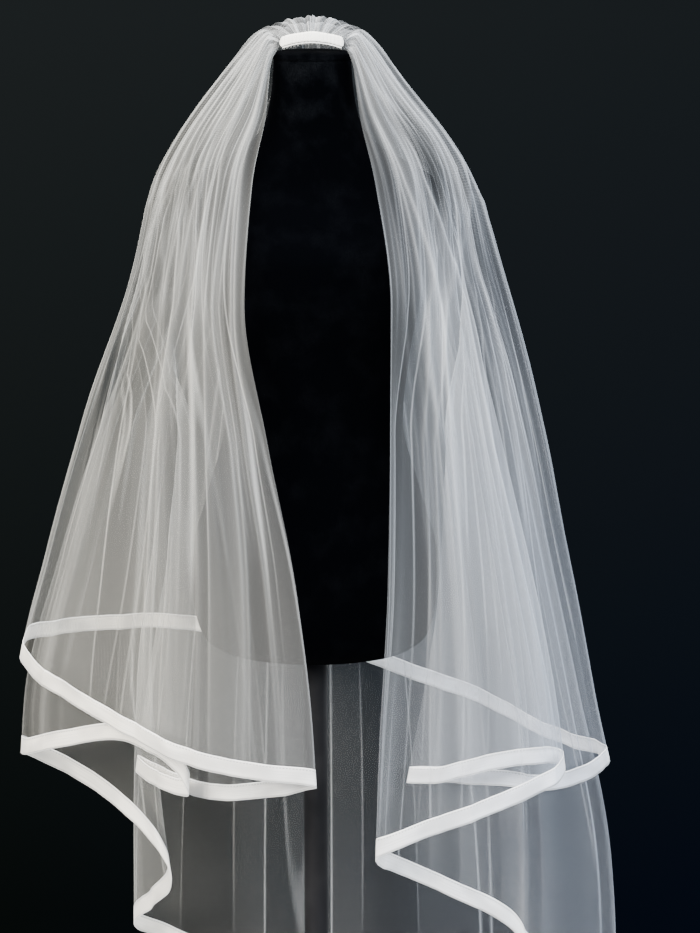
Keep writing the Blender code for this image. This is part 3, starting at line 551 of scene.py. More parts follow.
class FoldField:
    """Heights and extra cloth of the folds of one side, read at (around, station)."""

    def __init__(self, drape, folds, creases, thin):
        levels = np.linspace(0, FLOOR, FIELD_LEVELS + 1)
        places = np.linspace(0, 1, FIELD_PLACES + 1)
        grid = drape.at(*np.meshgrid(places, levels, indexing="xy"))
        run = np.linalg.norm(np.diff(grid, axis=1), axis=2)
        self.run = np.hstack([np.zeros((len(levels), 1)), np.cumsum(run, axis=1)])
        self.folds = list(folds) + self.loose()
        self.creases = creases
        self.thin = thin
        self.leans = chance.uniform(0, 2 * math.pi, len(GATHERS))
        self.puffs = chance.uniform(0, 2 * math.pi, (len(GATHERS), 2))

    def loose(self):
        """Smaller folds at uneven places, each drifting a little on its way down."""
        made = []
        for k in range(LOOSE_FOLDS):
            place = (k + chance.uniform(*LOOSE_PLACE)) / LOOSE_FOLDS
            drift = chance.normal(0, LOOSE_DRIFT, len(FOLD_STATIONS)).cumsum()
            start = chance.choice(LOOSE_STARTS)
            stop = chance.choice(LOOSE_STOPS)
            if stop <= start:
                stop = FLOOR
            made.append((
                start, stop, tuple(np.clip(place + drift, KEEP_OFF, 1 - KEEP_OFF)),
                chance.choice([-1, 1]), chance.uniform(*LOOSE_WIDE),
                chance.uniform(*LOOSE_DEEP), chance.uniform(*LOOSE_COVER),
            ))
        return made

    def metres(self, around, station):
        """Distance along the drape from its front fold, between the table's four nearest."""
        row = np.clip(station / FLOOR * FIELD_LEVELS, 0, FIELD_LEVELS - LAST_CELL)
        column = np.clip(around, 0, 1) * (FIELD_PLACES - LAST_CELL)
        i = row.astype(int)
        j = column.astype(int)
        u = row - i
        v = column - j
        near = self.run[i, j] * (1 - v) + self.run[i, j + 1] * v
        far = self.run[i + 1, j] * (1 - v) + self.run[i + 1, j + 1] * v
        return near * (1 - u) + far * u

    def read(self, around, station):
        """Height and extra cover of the folds and creases, and the share of the cloth left."""
        here = self.metres(around, station)
        height = np.zeros_like(here)
        cover = np.zeros_like(here)
        self.add_folds(here, station, height, cover)
        self.add_creases(here, station, height, cover)
        return height, cover, self.left(here, station)

    def add_folds(self, here, station, height, cover):
        """Each fold falls away at once on its open side and slowly on the other."""
        swell = np.interp(station, *SWELL)
        spread = np.interp(station, *SPREAD)
        lines_seen = np.interp(station, *LINES_SEEN)
        for start, stop, places, side, wide, deep, layers in self.folds:
            line = np.interp(station, FOLD_STATIONS, places)
            off = (here - self.metres(line, station)) * side
            grain = np.hypot(*np.gradient(off)) * GRAIN
            soft = np.maximum(SOFT, grain)
            half = np.maximum(CREST_HALF, grain)
            alive = eased((station - start) / FADE_IN) * eased((stop - station) / FADE_OUT)
            reach = wide / 1000 * spread
            slow = np.exp(-np.clip(off, 0, None) / reach)
            quick = 1 / (1 + (np.clip(off, None, 0) / soft) ** 2)
            height += alive * swell * deep / 1000 * slow * quick
            cover += alive * layers * eased(off / (2 * half) + 0.5) * np.exp(-(off / reach) ** 2)
            crest = lines_seen * CREST_COVER * CREST_HALF / half / (1 + (off / half) ** 2)
            cover += alive * layers * crest

    def add_creases(self, here, station, height, cover):
        """Each crease is a round ridge along a line of stations and places."""
        for stations, places, wide, deep, layers in self.creases:
            order = np.argsort(stations)
            at, lies = np.take(stations, order), np.take(places, order)
            line = np.interp(station, at, lies)
            inside = (
                eased((station - at[0]) / CREASE_FADE) * eased((at[-1] - station) / CREASE_FADE)
            )
            slope = np.interp(station, at, np.gradient(lies, at))
            slant = np.sqrt(1 + (slope * CREASE_SLANT) ** 2)
            off = (here - self.metres(line, station)) / slant
            half = np.maximum(wide / 1000, np.hypot(*np.gradient(off)) * GRAIN)
            crest = inside / (1 + (off / half) ** 2) * (wide / 1000 / half)
            height += crest * deep / 1000
            cover += crest * layers * CREST_COVER * CREASE_SEEN

    def left(self, here, station):
        """Share of the cloth left by the thinner and denser bands."""
        left = np.ones_like(here)
        for start, stop, places, half, share in self.thin:
            line = np.interp(station, FOLD_STATIONS, places)
            off = (here - self.metres(line, station)) * 1000
            alive = eased((station - start) / THIN_FADE) * eased((stop - station) / THIN_FADE)
            left -= (1 - share) * alive * eased((half - np.abs(off)) / (half * THIN_EDGE))
        return left

    def gathers(self, top, station):
        """Fine waves that start at the comb, with the ray's own place there as their measure."""
        height = np.zeros_like(station)
        rise = np.interp(station, *GATHER_RISE)
        wander, often = GATHER_BEND
        sway, down = GATHER_LEAN
        for (waves, tall, lean), start, puff in zip(GATHERS, self.leans, self.puffs):
            bend = wander * np.sin(top * often + puff[0])
            bend = bend + lean * sway * np.sin(station * down + puff[1])
            height += tall * rise * np.sin(2 * math.pi * waves * top + start + 2 * bend)
        return height


def ribbon_start(drape, side, ends, fine):
    """Stations of the ribbon's upper edge: its width is square to the hem, so it stands taller
    above a slanting hem, by 1 / sine of the angle between the hem and the cloth's fall."""
    hem_row = place_rays(drape, side, ends, ends, fine)[0]
    above = place_rays(drape, side, ends - ABOVE_HEM, ends, fine)[0]
    run = unit(np.gradient(hem_row, axis=0))
    fall = unit(hem_row - above)
    sine = np.maximum(np.linalg.norm(np.cross(run, fall), axis=1), STEEPEST)
    for _ in range(SINE_PASSES * (RAY_SAMPLES // 3) ** 2):
        sine[1:-1] = (sine[:-2] + 2 * sine[1:-1] + sine[2:]) / 4
    return hem_stations(drape, fine[:, 2], fine[:, 6] + RIBBON_WIDTH / sine), hem_row


def side_grid(side, drape, field, upper, lower):
    """Whole sheet of one side by rows and rays: points, UV in metres and the cloth seen.

    A row of the table is a ray, and the rays between come from smooth curves through its columns.
    Rows of faces run from the comb to the ribbon, and then over the ribbon's width. The relief of
    folds, gathers and ripples is laid square on the drape.
    """
    count = len(upper + lower)
    at = np.linspace(0, count - 1, (count - 1) * RAY_SAMPLES + 1)
    fine = smooth_through(upper + lower, at)
    ends = hem_stations(drape, fine[:, 2], fine[:, 6])
    ribbon, hem_row = ribbon_start(drape, side, ends, fine)
    behind = ribbon + (ends - ribbon) * NET_UNDER_RIBBON
    net_rows = (np.linspace(0, 1, NET_ROWS + 1) ** ROW_SPREAD)[:, None] * behind
    ribbon_rows = ribbon + np.linspace(0, 1, RIBBON_ROWS + 1)[:, None] * (ends - ribbon)
    station = np.vstack([net_rows, ribbon_rows])
    plain, around = place_rays(drape, side, station, ends, fine)

    hem_step = np.linalg.norm(np.diff(hem_row, axis=0), axis=1)
    hem_run = np.concatenate([[0], np.cumsum(hem_step)])
    height, folded, left = field.read(around, station)
    gather = field.gathers(np.broadcast_to(fine[:, 0], station.shape), station)
    to_hem = np.clip((ends - station) / HEM_HOLD, 0, 1)
    relief = (height + gather) * (HEM_KEEPS + (1 - HEM_KEEPS) * eased(to_hem))
    relief = relief * eased(station / COMB_HOLD)
    ripple = sum(
        tall * np.sin(2 * math.pi * hem_run / long + long * RIPPLES_SHIFT)
        for long, tall in RIPPLES
    )
    relief = relief + ripple * (1 - eased((ends - station) / RIPPLES_REACH))
    points = place_rays(drape, side, station, ends, fine, relief)[0]

    down = np.linalg.norm(np.diff(plain, axis=0), axis=2)
    fallen = np.vstack([np.zeros(len(at)), np.cumsum(down, axis=0)])
    step = np.linalg.norm(np.diff(plain, axis=1), axis=2)
    true_run = np.hstack([np.zeros((len(station), 1)), np.cumsum(step, axis=1)])
    fold = (len(upper) - 1) * RAY_SAMPLES
    true_run = true_run - true_run[:, fold:fold + 1]
    wide_here = np.linalg.norm(np.gradient(plain, axis=1), axis=2)
    gathered = np.clip(np.gradient(hem_run) / np.maximum(wide_here, 1e-5), 1, MOST_GATHERED)
    full = np.minimum(gathered**FULLNESS_POWER, FULLEST)
    seen = np.interp(station, *AIRY) * left
    cover = np.clip(full * seen * (1 + PUFF_COVER * gather), *COVER_LIMITS)
    return {
        "points": points, "u": np.broadcast_to(hem_run, station.shape), "v": fallen,
        "true_u": true_run, "cover": cover, "folded": folded * seen, "gathered": gathered,
        "fold": fold,
    }


def new_piece(name, mesh, look, node):
    """A smooth piece at the origin that stands for a node and rides on the one body."""
    mesh.polygons.foreach_set("use_smooth", np.ones(len(mesh.polygons), dtype=bool))
    made = bpy.data.objects.new(name, mesh)
    bpy.context.scene.collection.objects.link(made)
    mesh.materials.append(look)
    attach(made, "root")
    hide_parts(node)
    return made


def grid_mesh(name, points, maps, attributes, flip):
    """A sheet from a grid of points (rows, columns, 3), with UV maps in metres and attributes.

    Each face joins four neighbours of the grid, turned round where flip is true.
    """
    rows, columns = points.shape[:2]
    index = np.arange(rows * columns).reshape(rows, columns)
    corners = [index[:-1, :-1], index[:-1, 1:], index[1:, 1:], index[1:, :-1]]
    if flip:
        corners = [corners[k] for k in (0, 3, 2, 1)]
    faces = np.stack(corners, axis=-1).reshape(-1, 4)
    mesh = bpy.data.meshes.new(name)
    mesh.vertices.add(rows * columns)
    mesh.vertices.foreach_set("co", points.reshape(-1).astype(np.float32))
    mesh.loops.add(faces.size)
    mesh.loops.foreach_set("vertex_index", faces.reshape(-1).astype(np.int32))
    mesh.polygons.add(len(faces))
    mesh.polygons.foreach_set("loop_start", np.arange(0, faces.size, 4, dtype=np.int32))
    mesh.update(calc_edges=True)
    mesh.validate()
    for word, u, v in maps:
        layer = mesh.uv_layers.new(name=word)
        both = np.stack([u.reshape(-1), v.reshape(-1)], axis=1)[faces.reshape(-1)]
        layer.data.foreach_set("uv", both.reshape(-1).astype(np.float32))
    for word, values in attributes:
        kept = mesh.attributes.new(word, "FLOAT", "POINT")
        kept.data.foreach_set("value", values.reshape(-1).astype(np.float32))
    return mesh


def ring_mesh(name, rings):
    """A closed surface from rings of points (rings, sides, 3), with a fan over each end."""
    count, sides = rings.shape[:2]
    index = np.arange(count * sides).reshape(count, sides)
    beside = np.roll(index, -1, axis=1)
    walls = np.stack([index[:-1], beside[:-1], beside[1:], index[1:]], axis=-1).reshape(-1, 4)
    low, high = np.full(sides, count * sides), np.full(sides, count * sides + 1)
    under = np.stack([beside[0], index[0], low], axis=-1)
    over = np.stack([index[-1], beside[-1], high], axis=-1)
    vertices = np.vstack([rings.reshape(-1, 3), rings[0].mean(axis=0), rings[-1].mean(axis=0)])
    mesh = bpy.data.meshes.new(name)
    mesh.from_pydata(vertices.tolist(), [], walls.tolist() + under.tolist() + over.tolist())
    return mesh


def around_ring(sides):
    """Angles evenly round a ring, and the same array for every ring."""
    return np.linspace(0, 2 * math.pi, sides, endpoint=False)


def stacked(x, y, z):
    """Points (rings, sides, 3), where z may have one value for each ring."""
    return np.stack([x, y, np.broadcast_to(z, x.shape)], axis=-1)


def form_rings(sections, count):
    """Rounded oval rings: half sizes wide, front and back at each height z, smooth from ring to
    ring. Seams are shallow round grooves down the form."""
    rows = monotone(sections, np.linspace(0, len(sections) - 1, count))
    z, wide, front, back = (column[:, None] for column in rows.T)
    a = around_ring(FORM_SIDES)
    depth = np.where(np.sin(a) < 0, front, back)
    aside = [np.angle(np.exp(1j * (a - seam))) for seam in SEAMS]
    inset = SEAM_DEEP * sum(np.exp(-(angle / SEAM_WIDE) ** 2) for angle in aside)
    return stacked((wide - inset) * np.cos(a), (depth - inset) * np.sin(a), z)


def turned_rings(profile):
    """Rings of a turned shape from (radius, height) pairs."""
    radius, height = (column[:, None] for column in profile.T)
    a = around_ring(TURN_SIDES)
    return stacked(radius * np.cos(a), radius * np.sin(a), height)


def rounded(corners, radius):
    """A profile whose corners are arcs: each is a quadratic curve through its rounded corner."""
    corners = np.array(corners, float)
    t = np.linspace(0, 1, ARC_STEPS)[:, None]
    parts = [corners[:1]]
    for before, corner, after in zip(corners[:-2], corners[1:-1], corners[2:]):
        start, end = (
            corner + unit(other - corner) * min(radius, 0.5 * np.linalg.norm(other - corner))
            for other in (before, after)
        )
        parts.append(start * (1 - t) ** 2 + corner * 2 * t * (1 - t) + end * t**2)
    parts.append(corners[-1:])
    return np.vstack(parts)


def band_rings():
    """The band: rounded oblong rings along the comb, with a swell at each turn of the tape."""
    x = np.linspace(-COMB_HALF, COMB_HALF, BAND_RINGS)[:, None]
    a = around_ring(BAND_SIDES)
    square = np.maximum(np.abs(np.cos(a)), np.abs(np.sin(a))) ** 0.5
    past = ((np.abs(x) - COMB_HALF + BAND_END) / BAND_END).clip(0)
    end = np.sqrt(np.clip(1 - past**2, BAND_BLUNT, 1))
    uneven, often = TAPE_UNEVEN
    turn = (x * TAPE_TURNS + uneven * np.sin(x * often)) % 1
    rise, fall = TAPE_SIDES
    swell = -TAPE_STEP * (1 - eased(turn / rise) * eased((1 - turn) / fall))
    out = (BAND_THICK / 2 + swell) * end * (np.cos(a) / square)
    up = (BAND_TALL / 2 + swell) * end * (np.sin(a) / square)
    tall, waves, start = BAND_LUMP
    lump = tall * np.sin(x * waves + start) * (np.sin(a) > 0)
    z = BAND_MIDDLE_Z - COMB_ARCH * x**2 + up + lump
    return stacked(np.broadcast_to(x, z.shape), comb_line(x) + out, z)


# --- finishes: helpers ---

def group_of(name, inputs, outputs):
    """An empty node group with named inputs, numbers or colours, and named outputs."""
    made = bpy.data.node_groups.new(name, "ShaderNodeTree")
    for word, value in inputs:
        kind = "NodeSocketColor" if isinstance(value, tuple) else "NodeSocketFloat"
        made.interface.new_socket(word, in_out="INPUT", socket_type=kind).default_value = value
    for word in outputs:
        kind = "NodeSocketColor" if word == "Color" else "NodeSocketFloat"
        made.interface.new_socket(word, in_out="OUTPUT", socket_type=kind)
    return made, made.nodes.new("NodeGroupInput").outputs, made.nodes.new("NodeGroupOutput").inputs


def wired(tree, kind, links=(), **settings):
    """A node with its settings, and its inputs set or linked by name or number."""
    node = tree.nodes.new(kind)
    for key, value in settings.items():
        setattr(node, key, value)
    for key, value in links:
        if isinstance(value, bpy.types.NodeSocket):
            tree.links.new(value, node.inputs[key])
        else:
            node.inputs[key].default_value = value
    return node


def maths(tree, operation, *values):
    """The output of a Math node."""
    return wired(tree, "ShaderNodeMath", list(enumerate(values)), operation=operation).outputs[0]


def times(tree, first, second):
    """A product of two values."""
    return maths(tree, "MULTIPLY", first, second)


def plus(tree, first, second):
    """A sum of two values."""
    return maths(tree, "ADD", first, second)


def minus(tree, first, second):
    """A difference of two values."""
    return maths(tree, "SUBTRACT", first, second)


def mixed(tree, share, first, second):
    """The output of a colour Mix node."""
    node = wired(tree, "ShaderNodeMix", [(0, share), (6, first), (7, second)], data_type="RGBA")
    return node.outputs[2]


def ramp(tree, value, low, high):
    """Share of the way from low to high, held between 0 and 1."""
    return wired(tree, "ShaderNodeMapRange", [(0, value), (1, low), (2, high)]).outputs[0]


def noise(tree, place, scale, detail=2.0, **settings):
    """The value of a noise texture, from 0 to 1."""
    links = [("Vector", place), ("Scale", scale), ("Detail", detail)]
    return wired(tree, "ShaderNodeTexNoise", links, **settings).outputs[0]


def stretched(tree, place, along, across, detail=2.0):
    """A noise with its own scale, to the metre, along and across the cloth."""
    links = [("Vector", place), ("Scale", (along, across, 1.0))]
    return noise(tree, wired(tree, "ShaderNodeMapping", links).outputs[0], 1.0, detail)


def in_space(tree):
    """A place in the piece's own metres."""
    return tree.nodes.new("ShaderNodeTexCoord").outputs["Object"]


def on_cloth(tree, name="cloth"):
    """A place on the cloth in metres, from a UV map: along the hem and down from the comb."""
    return wired(tree, "ShaderNodeUVMap", uv_map=name).outputs[0]


def parts_of(tree, place):
    """The parts of a place."""
    return wired(tree, "ShaderNodeSeparateXYZ", [(0, place)]).outputs


def sheet_value(tree, name):
    """A value that the sheet's mesh carries."""
    return wired(tree, "ShaderNodeAttribute", attribute_name=name).outputs["Fac"]


def plain_look(name, colour, rough, **even):
    """A material with its Principled shader, whose even values are set on its own sockets."""
    made = bpy.data.materials.new(name)
    made.use_nodes = True
    shader = made.node_tree.nodes["Principled BSDF"]
    shader.inputs["Base Color"].default_value = (*colour, 1.0)
    shader.inputs["Roughness"].default_value = rough
    for key, value in even.items():
        shader.inputs[key.replace("_", " ")].default_value = value
    return made, made.node_tree, shader


def bumped(tree, shader, height, strength, distance):
    """Puts a Bump on the shader."""
    links = [("Height", height), ("Strength", strength), ("Distance", distance)]
    tree.links.new(wired(tree, "ShaderNodeBump", links).outputs[0], shader.inputs["Normal"])


# --- finishes: effects shared by materials ---

DRIFT_WAVES = 17.0
DRIFT_REACH = 0.03
PAINTED_LIGHT_ACROSS = (-0.24, 0.34)  # X between which the painted warm light turns to the painted cool shade
THREAD_PITCH = 0.0019
PANEL_EDGE = 0.6  # of a fold line's width, over which one panel turns into the next
DRIFT_SPAN = (0.30, 0.70)


def make_painted_light_group():
    """Painted light: a warm-lit white at the left and a cool, shaded white at the right, with a
    slow uneven drift.
    """
    white = (1.0, 1.0, 1.0, 1.0)
    tree, enter, leave = group_of("white_painted_light_drift", [("Warm", white), ("Cool", white)], ["Color"])
    x, y, z = parts_of(tree, in_space(tree))
    drift = maths(tree, "SINE", times(tree, plus(tree, y, z), DRIFT_WAVES))
    share = ramp(tree, plus(tree, x, times(tree, drift, DRIFT_REACH)), *PAINTED_LIGHT_ACROSS)
    tree.links.new(mixed(tree, share, enter[0], enter[1]), leave[0])
    return tree


def make_weave_group():
    """Threads of a diamond net, Pitch apart in the cloth's own metres, from 0 to 1."""
    tree, enter, leave = group_of("net_threads", [("Pitch", THREAD_PITCH)], ["Mask"])
    along, down, _ = parts_of(tree, on_cloth(tree, "weave"))
    turns = maths(tree, "DIVIDE", 2 * math.pi, enter[0])
    rising = maths(tree, "COSINE", times(tree, plus(tree, along, down), turns))
    falling = maths(tree, "COSINE", times(tree, minus(tree, along, down), turns))
    tree.links.new(ramp(tree, maths(tree, "MAXIMUM", rising, falling), 0.1, 1.0), leave[0])
    return tree


def make_fold_group():
    """Long narrow panels of cloth, thin and dense in turn, and the bright line between them.

    A smooth noise, stretched down the cloth, is cut at its middle value. Across and Down are its
    scales to the metre, and Line is 1 at the cut and falls to 0 at a distance of about Thin,
    which grows where the cloth is gathered and is never more than Widest of a panel.
    """
    inputs = ("Across", "Down", "Gathered", "Thin", "Widest", "Shift")
    tree, enter, leave = group_of(
        "fold_lines", [(word, 1.0) for word in inputs], ["Line", "Panel", "Drift"]
    )
    across, down, gathered, thin, widest, shift = enter[:6]
    along, fallen, _ = parts_of(tree, on_cloth(tree))
    x = plus(tree, times(tree, along, across), shift)
    y = plus(tree, times(tree, fallen, down), shift)
    place = wired(tree, "ShaderNodeCombineXYZ", [(0, x), (1, y)]).outputs[0]
    value = noise(tree, place, 1.0, 0.0, noise_dimensions="2D")
    reach = times(tree, times(tree, thin, across), gathered)
    reach = maths(tree, "MINIMUM", reach, widest)
    off = maths(tree, "DIVIDE", minus(tree, value, 0.5), reach)
    line = maths(tree, "MAXIMUM", minus(tree, 1.0, maths(tree, "ABSOLUTE", off)), 0.0)
    tree.links.new(line, leave[0])
    tree.links.new(ramp(tree, off, -PANEL_EDGE, PANEL_EDGE), leave[1])
    tree.links.new(ramp(tree, value, *DRIFT_SPAN), leave[2])
    return tree


painted_light_group = make_painted_light_group()
weave_group = make_weave_group()
fold_group = make_fold_group()


def painted_light_tint(tree, warm, cool):
    """The painted light colour of the tint group, between a warm-lit and a cool shaded white."""
    links = [(0, (*warm, 1)), (1, (*cool, 1))]
    return wired(tree, "ShaderNodeGroup", links, node_tree=painted_light_group).outputs[0]


# --- finishes: net ---

# painted light: the net's white, warm-lit at the left and cooler and shaded at the right
NET_PAINTED_WARM_LIGHT = (0.45, 0.443, 0.41)
NET_PAINTED_COOL_SHADE = (0.375, 0.41, 0.475)
LAYER = 0.062  # cover of one flat layer of net seen square on, as an optical depth
LEAST_COSINE = 0.14  # keeps cloth that is seen edge on from turning solid
THREADS_MEAN = 0.45  # taken off the threads, so that they don't change the cover in all
THREAD_CONTRAST = 0.9
FOLD_LOOKS = (  # across, down, thin, widest, shift, fades from, to, what is left, swing, bright
    (14.0, 0.55, 0.0014, 0.035, 3.7, 0.30, 0.85, 0.40, 0.60, 16.0),
    (38.0, 0.90, 0.0010, 0.050, 11.2, 0.08, 0.42, 0.00, 0.55, 12.0),
)


def fold_family(tree, gathered, fallen, across, down, thin, widest, shift, top, foot, ends, swing,
                bright):
    """One family of fold lines: its bright line, its panels' swing, where it is, and its fade."""
    line, panel, drift = wired(
        tree, "ShaderNodeGroup",
        [("Across", across), ("Down", down), ("Gathered", gathered), ("Thin", thin),
         ("Widest", widest), ("Shift", shift)],
        node_tree=fold_group,
    ).outputs
    fade = wired(
        tree, "ShaderNodeMapRange", [(0, fallen), (1, top), (2, foot), (3, 1.0), (4, ends)]
    ).outputs[0]
    odds = times(tree, minus(tree, panel, 0.5), swing)
    return times(tree, line, bright), odds, maths(tree, "POWER", drift, 2.0), fade


def net_look(name):
    """Sheer net. Its cover is 1 - exp(-cloth / cosine of the angle at which it is seen).

    The lines of each family of folds are rare where the other family is strong.
    """
    made, tree, shader = plain_look(name, (0.9, 0.9, 0.9), 0.85, Specular_IOR_Level=0.0)
    # the net's colour is painted light, warm at the left and cool and shaded at the right
    colour = painted_light_tint(tree, NET_PAINTED_WARM_LIGHT, NET_PAINTED_COOL_SHADE)
    threads = wired(tree, "ShaderNodeGroup", node_tree=weave_group).outputs[0]
    gathered = sheet_value(tree, "gathered")
    fallen = parts_of(tree, on_cloth(tree))[1]
    families = [fold_family(tree, gathered, fallen, *looks) for looks in FOLD_LOOKS]
    cloth = sheet_value(tree, "cover")
    for (line, odds, _, fade), (_, _, rare, _) in zip(families, families[::-1]):
        more = times(tree, plus(tree, odds, times(tree, line, rare)), fade)
        cloth = times(tree, cloth, plus(tree, 1.0, more))
    cloth = plus(tree, cloth, sheet_value(tree, "folded"))
    weave = times(tree, minus(tree, threads, THREADS_MEAN), THREAD_CONTRAST)
    cloth = times(tree, cloth, plus(tree, 1.0, weave))
    facing = wired(tree, "ShaderNodeLayerWeight", [("Blend", 0.5)]).outputs["Facing"]
    cosine = maths(tree, "MAXIMUM", minus(tree, 1.0, facing), LEAST_COSINE)
    depth = maths(tree, "DIVIDE", times(tree, cloth, -LAYER), cosine)
    tree.links.new(colour, shader.inputs["Base Color"])
    tree.links.new(minus(tree, 1.0, maths(tree, "EXPONENT", depth)), shader.inputs["Alpha"])
    return made


# --- finishes: satin ribbon ---

# painted light: the satin's white, warm-lit at the left and cooler and shaded at the right
SATIN_PAINTED_WARM_LIGHT = (1.0, 0.945, 0.83)
SATIN_PAINTED_COOL_SHADE = (0.86, 0.90, 1.0)
# painted shade and painted shadow on the satin, also the colour of the stitches
SATIN_PAINTED_SHADE_AND_STITCH = (0.16, 0.16, 0.17, 1)
# painted highlight on the raised corded edge
SATIN_CORD_PAINTED_HIGHLIGHT = (0.98, 0.97, 0.95, 1)
SHADE_SHARE = 0.38  # of the dark in the satin's painted shade, in its slow patches and fine streaks
STITCH_PITCH = 0.0042
STITCH_LONG = 0.62  # of the pitch
STITCH_IN = 0.0026  # from the upper edge
STITCH_HALF = 0.0006
EDGE_CORD = 0.0009


def satin_look(name):
    """Satin ribbon: a painted sheen and shade that come and go along it, fine lengthwise threads
    with painted shaded streaks, a corded edge with a painted highlight on it and a painted shadow
    beside it, and running stitches where it is sewn to the net."""
    made, tree, shader = plain_look(
        name, (0.9, 0.9, 0.9), 0.34, Anisotropic=0.5, Sheen_Weight=0.7, Sheen_Roughness=0.4,
        Specular_IOR_Level=1.0,
    )
    # painted light: warm-lit at the left, cool and shaded at the right
    white = painted_light_tint(tree, SATIN_PAINTED_WARM_LIGHT, SATIN_PAINTED_COOL_SHADE)
    cloth = on_cloth(tree)
    along, across, _ = parts_of(tree, cloth)
    beat = maths(tree, "FRACT", maths(tree, "DIVIDE", along, STITCH_PITCH))
    dash = maths(tree, "LESS_THAN", beat, STITCH_LONG)
    stitch = times(tree, dash, maths(tree, "COMPARE", across, STITCH_IN, STITCH_HALF))
    cord = maths(
        tree, "MAXIMUM", maths(tree, "LESS_THAN", across, EDGE_CORD),
        maths(tree, "GREATER_THAN", across, RIBBON_WIDTH - EDGE_CORD),
    )
    # painted shadow: a dark line painted beside each corded edge
    shadow_at, shadow_half = 1.6 * EDGE_CORD, 0.6 * EDGE_CORD
    shadow = maths(
        tree, "MAXIMUM", maths(tree, "COMPARE", across, shadow_at, shadow_half),
        maths(tree, "COMPARE", across, RIBBON_WIDTH - shadow_at, shadow_half),
    )
    # the fine grain is real lengthwise threads in the bump and painted shaded streaks in the
    # colour
    grain = stretched(tree, cloth, 8.0, 900.0)
    slow = stretched(tree, cloth, 17.0, 38.0, 1.0)
    # painted sheen and shade: slow patches along the ribbon and fine streaks mix its white with a
    # painted shade
    shade = mixed(tree, SHADE_SHARE, white, SATIN_PAINTED_SHADE_AND_STITCH)
    base = mixed(tree, ramp(tree, slow, 0.34, 0.58), shade, white)
    base = mixed(tree, ramp(tree, grain, 0.42, 0.80), base, shade)
    # painted shadow beside the cord
    base = mixed(tree, times(tree, shadow, 0.45), base, SATIN_PAINTED_SHADE_AND_STITCH)
    base = mixed(tree, times(tree, stitch, 0.65), base, SATIN_PAINTED_SHADE_AND_STITCH)
    # painted highlight along the raised cord
    base = mixed(tree, times(tree, cord, 0.6), base, SATIN_CORD_PAINTED_HIGHLIGHT)
    tree.links.new(base, shader.inputs["Base Color"])
    tree.links.new(plus(tree, 0.28, times(tree, slow, 0.20)), shader.inputs["Roughness"])
    height = plus(tree, times(tree, grain, 0.35), cord)
    bumped(tree, shader, minus(tree, height, times(tree, stitch, 0.9)), 0.6, 0.0005)
    return made


# --- finishes: form, band, comb and stand ---

VELVET_DARK = (0.0004, 0.0005, 0.0008, 1)
VELVET_LIT = (0.0055, 0.0062, 0.0075, 1)
VELVET_SHEEN_HEIGHTS = (1.36, 1.47)  # heights between which the painted sheen on the pile grows stronger
TAPE_SHADE = (0.80, 0.77, 0.70, 1)
TAPE_CREAM = (0.93, 0.91, 0.86, 1)
METAL_DARK = (0.004, 0.004, 0.005, 1)
METAL_WORN = (0.010, 0.010, 0.011, 1)


def velvet_look(name):
    """Black velvet whose pile lies in soft patches that catch the light: a painted sheen, stronger
    towards the neck.
    """
    made, tree, shader = plain_look(
        name, (0.0012, 0.0012, 0.0014), 1.0, Sheen_Weight=0.003, Sheen_Roughness=0.5,
        Specular_IOR_Level=0.0,
    )
    place = in_space(tree)
    patches = noise(tree, place, 24.0, 6.0)
    pile = noise(tree, place, 900.0)
    height = parts_of(tree, place)[2]
    # painted sheen, stronger towards the neck
    sheen_towards_neck = plus(tree, 0.25, times(tree, ramp(tree, height, *VELVET_SHEEN_HEIGHTS), 0.75))
    share = times(tree, ramp(tree, patches, 0.48, 0.74), ramp(tree, pile, 0.30, 0.75))
    base = mixed(tree, times(tree, share, sheen_towards_neck), VELVET_DARK, VELVET_LIT)
    tree.links.new(base, shader.inputs["Base Color"])
    bumped(tree, shader, pile, 0.4, 0.0006)
    return made


def band_look(name):
    """Cream tape wound round the band, its turns laid side by side."""
    made, tree, shader = plain_look(name, (0.90, 0.88, 0.82), 0.62, Sheen_Weight=0.2)
    place = in_space(tree)
    across = plus(tree, parts_of(tree, place)[0], 1.0)
    turns = maths(tree, "FRACT", times(tree, across, TAPE_TURNS))
    lap = plus(tree, turns, times(tree, noise(tree, place, 700.0, 3.0), 0.4))
    base = mixed(tree, ramp(tree, lap, 0.05, 0.45), TAPE_SHADE, TAPE_CREAM)
    tree.links.new(base, shader.inputs["Base Color"])
    bumped(tree, shader, lap, 0.35, 0.0006)
    return made


def comb_look(name):
    """Clear plastic with a faint uneven haze."""
    made, tree, shader = plain_look(name, (0.86, 0.85, 0.82), 0.22, Alpha=0.72)
    haze = noise(tree, in_space(tree), 240.0)
    tree.links.new(ramp(tree, haze, 0.1, 2.4), shader.inputs["Roughness"])
    return made


def metal_look(name):
    """Dark painted metal with a fine orange-peel and dull smears."""
    made, tree, shader = plain_look(name, (0.006, 0.006, 0.007), 0.75, Specular_IOR_Level=0.12)
    place = in_space(tree)
    smear = noise(tree, place, 22.0, 4.0)
    base = mixed(tree, ramp(tree, smear, 0.45, 0.75), METAL_DARK, METAL_WORN)
    tree.links.new(base, shader.inputs["Base Color"])
    tree.links.new(plus(tree, 0.62, times(tree, smear, 0.25)), shader.inputs["Roughness"])
    bumped(tree, shader, noise(tree, place, 320.0), 0.25, 0.0004)
    return made


net_material = net_look("white_net_sheer")
satin_material = satin_look("white_satin_ribbon")
velvet_material = velvet_look("black_velvet_pile")
band_material = band_look("cream_band_tape")
comb_material = comb_look("clear_comb_plastic")
metal_material = metal_look("dark_painted_metal")

# --- the veil ---

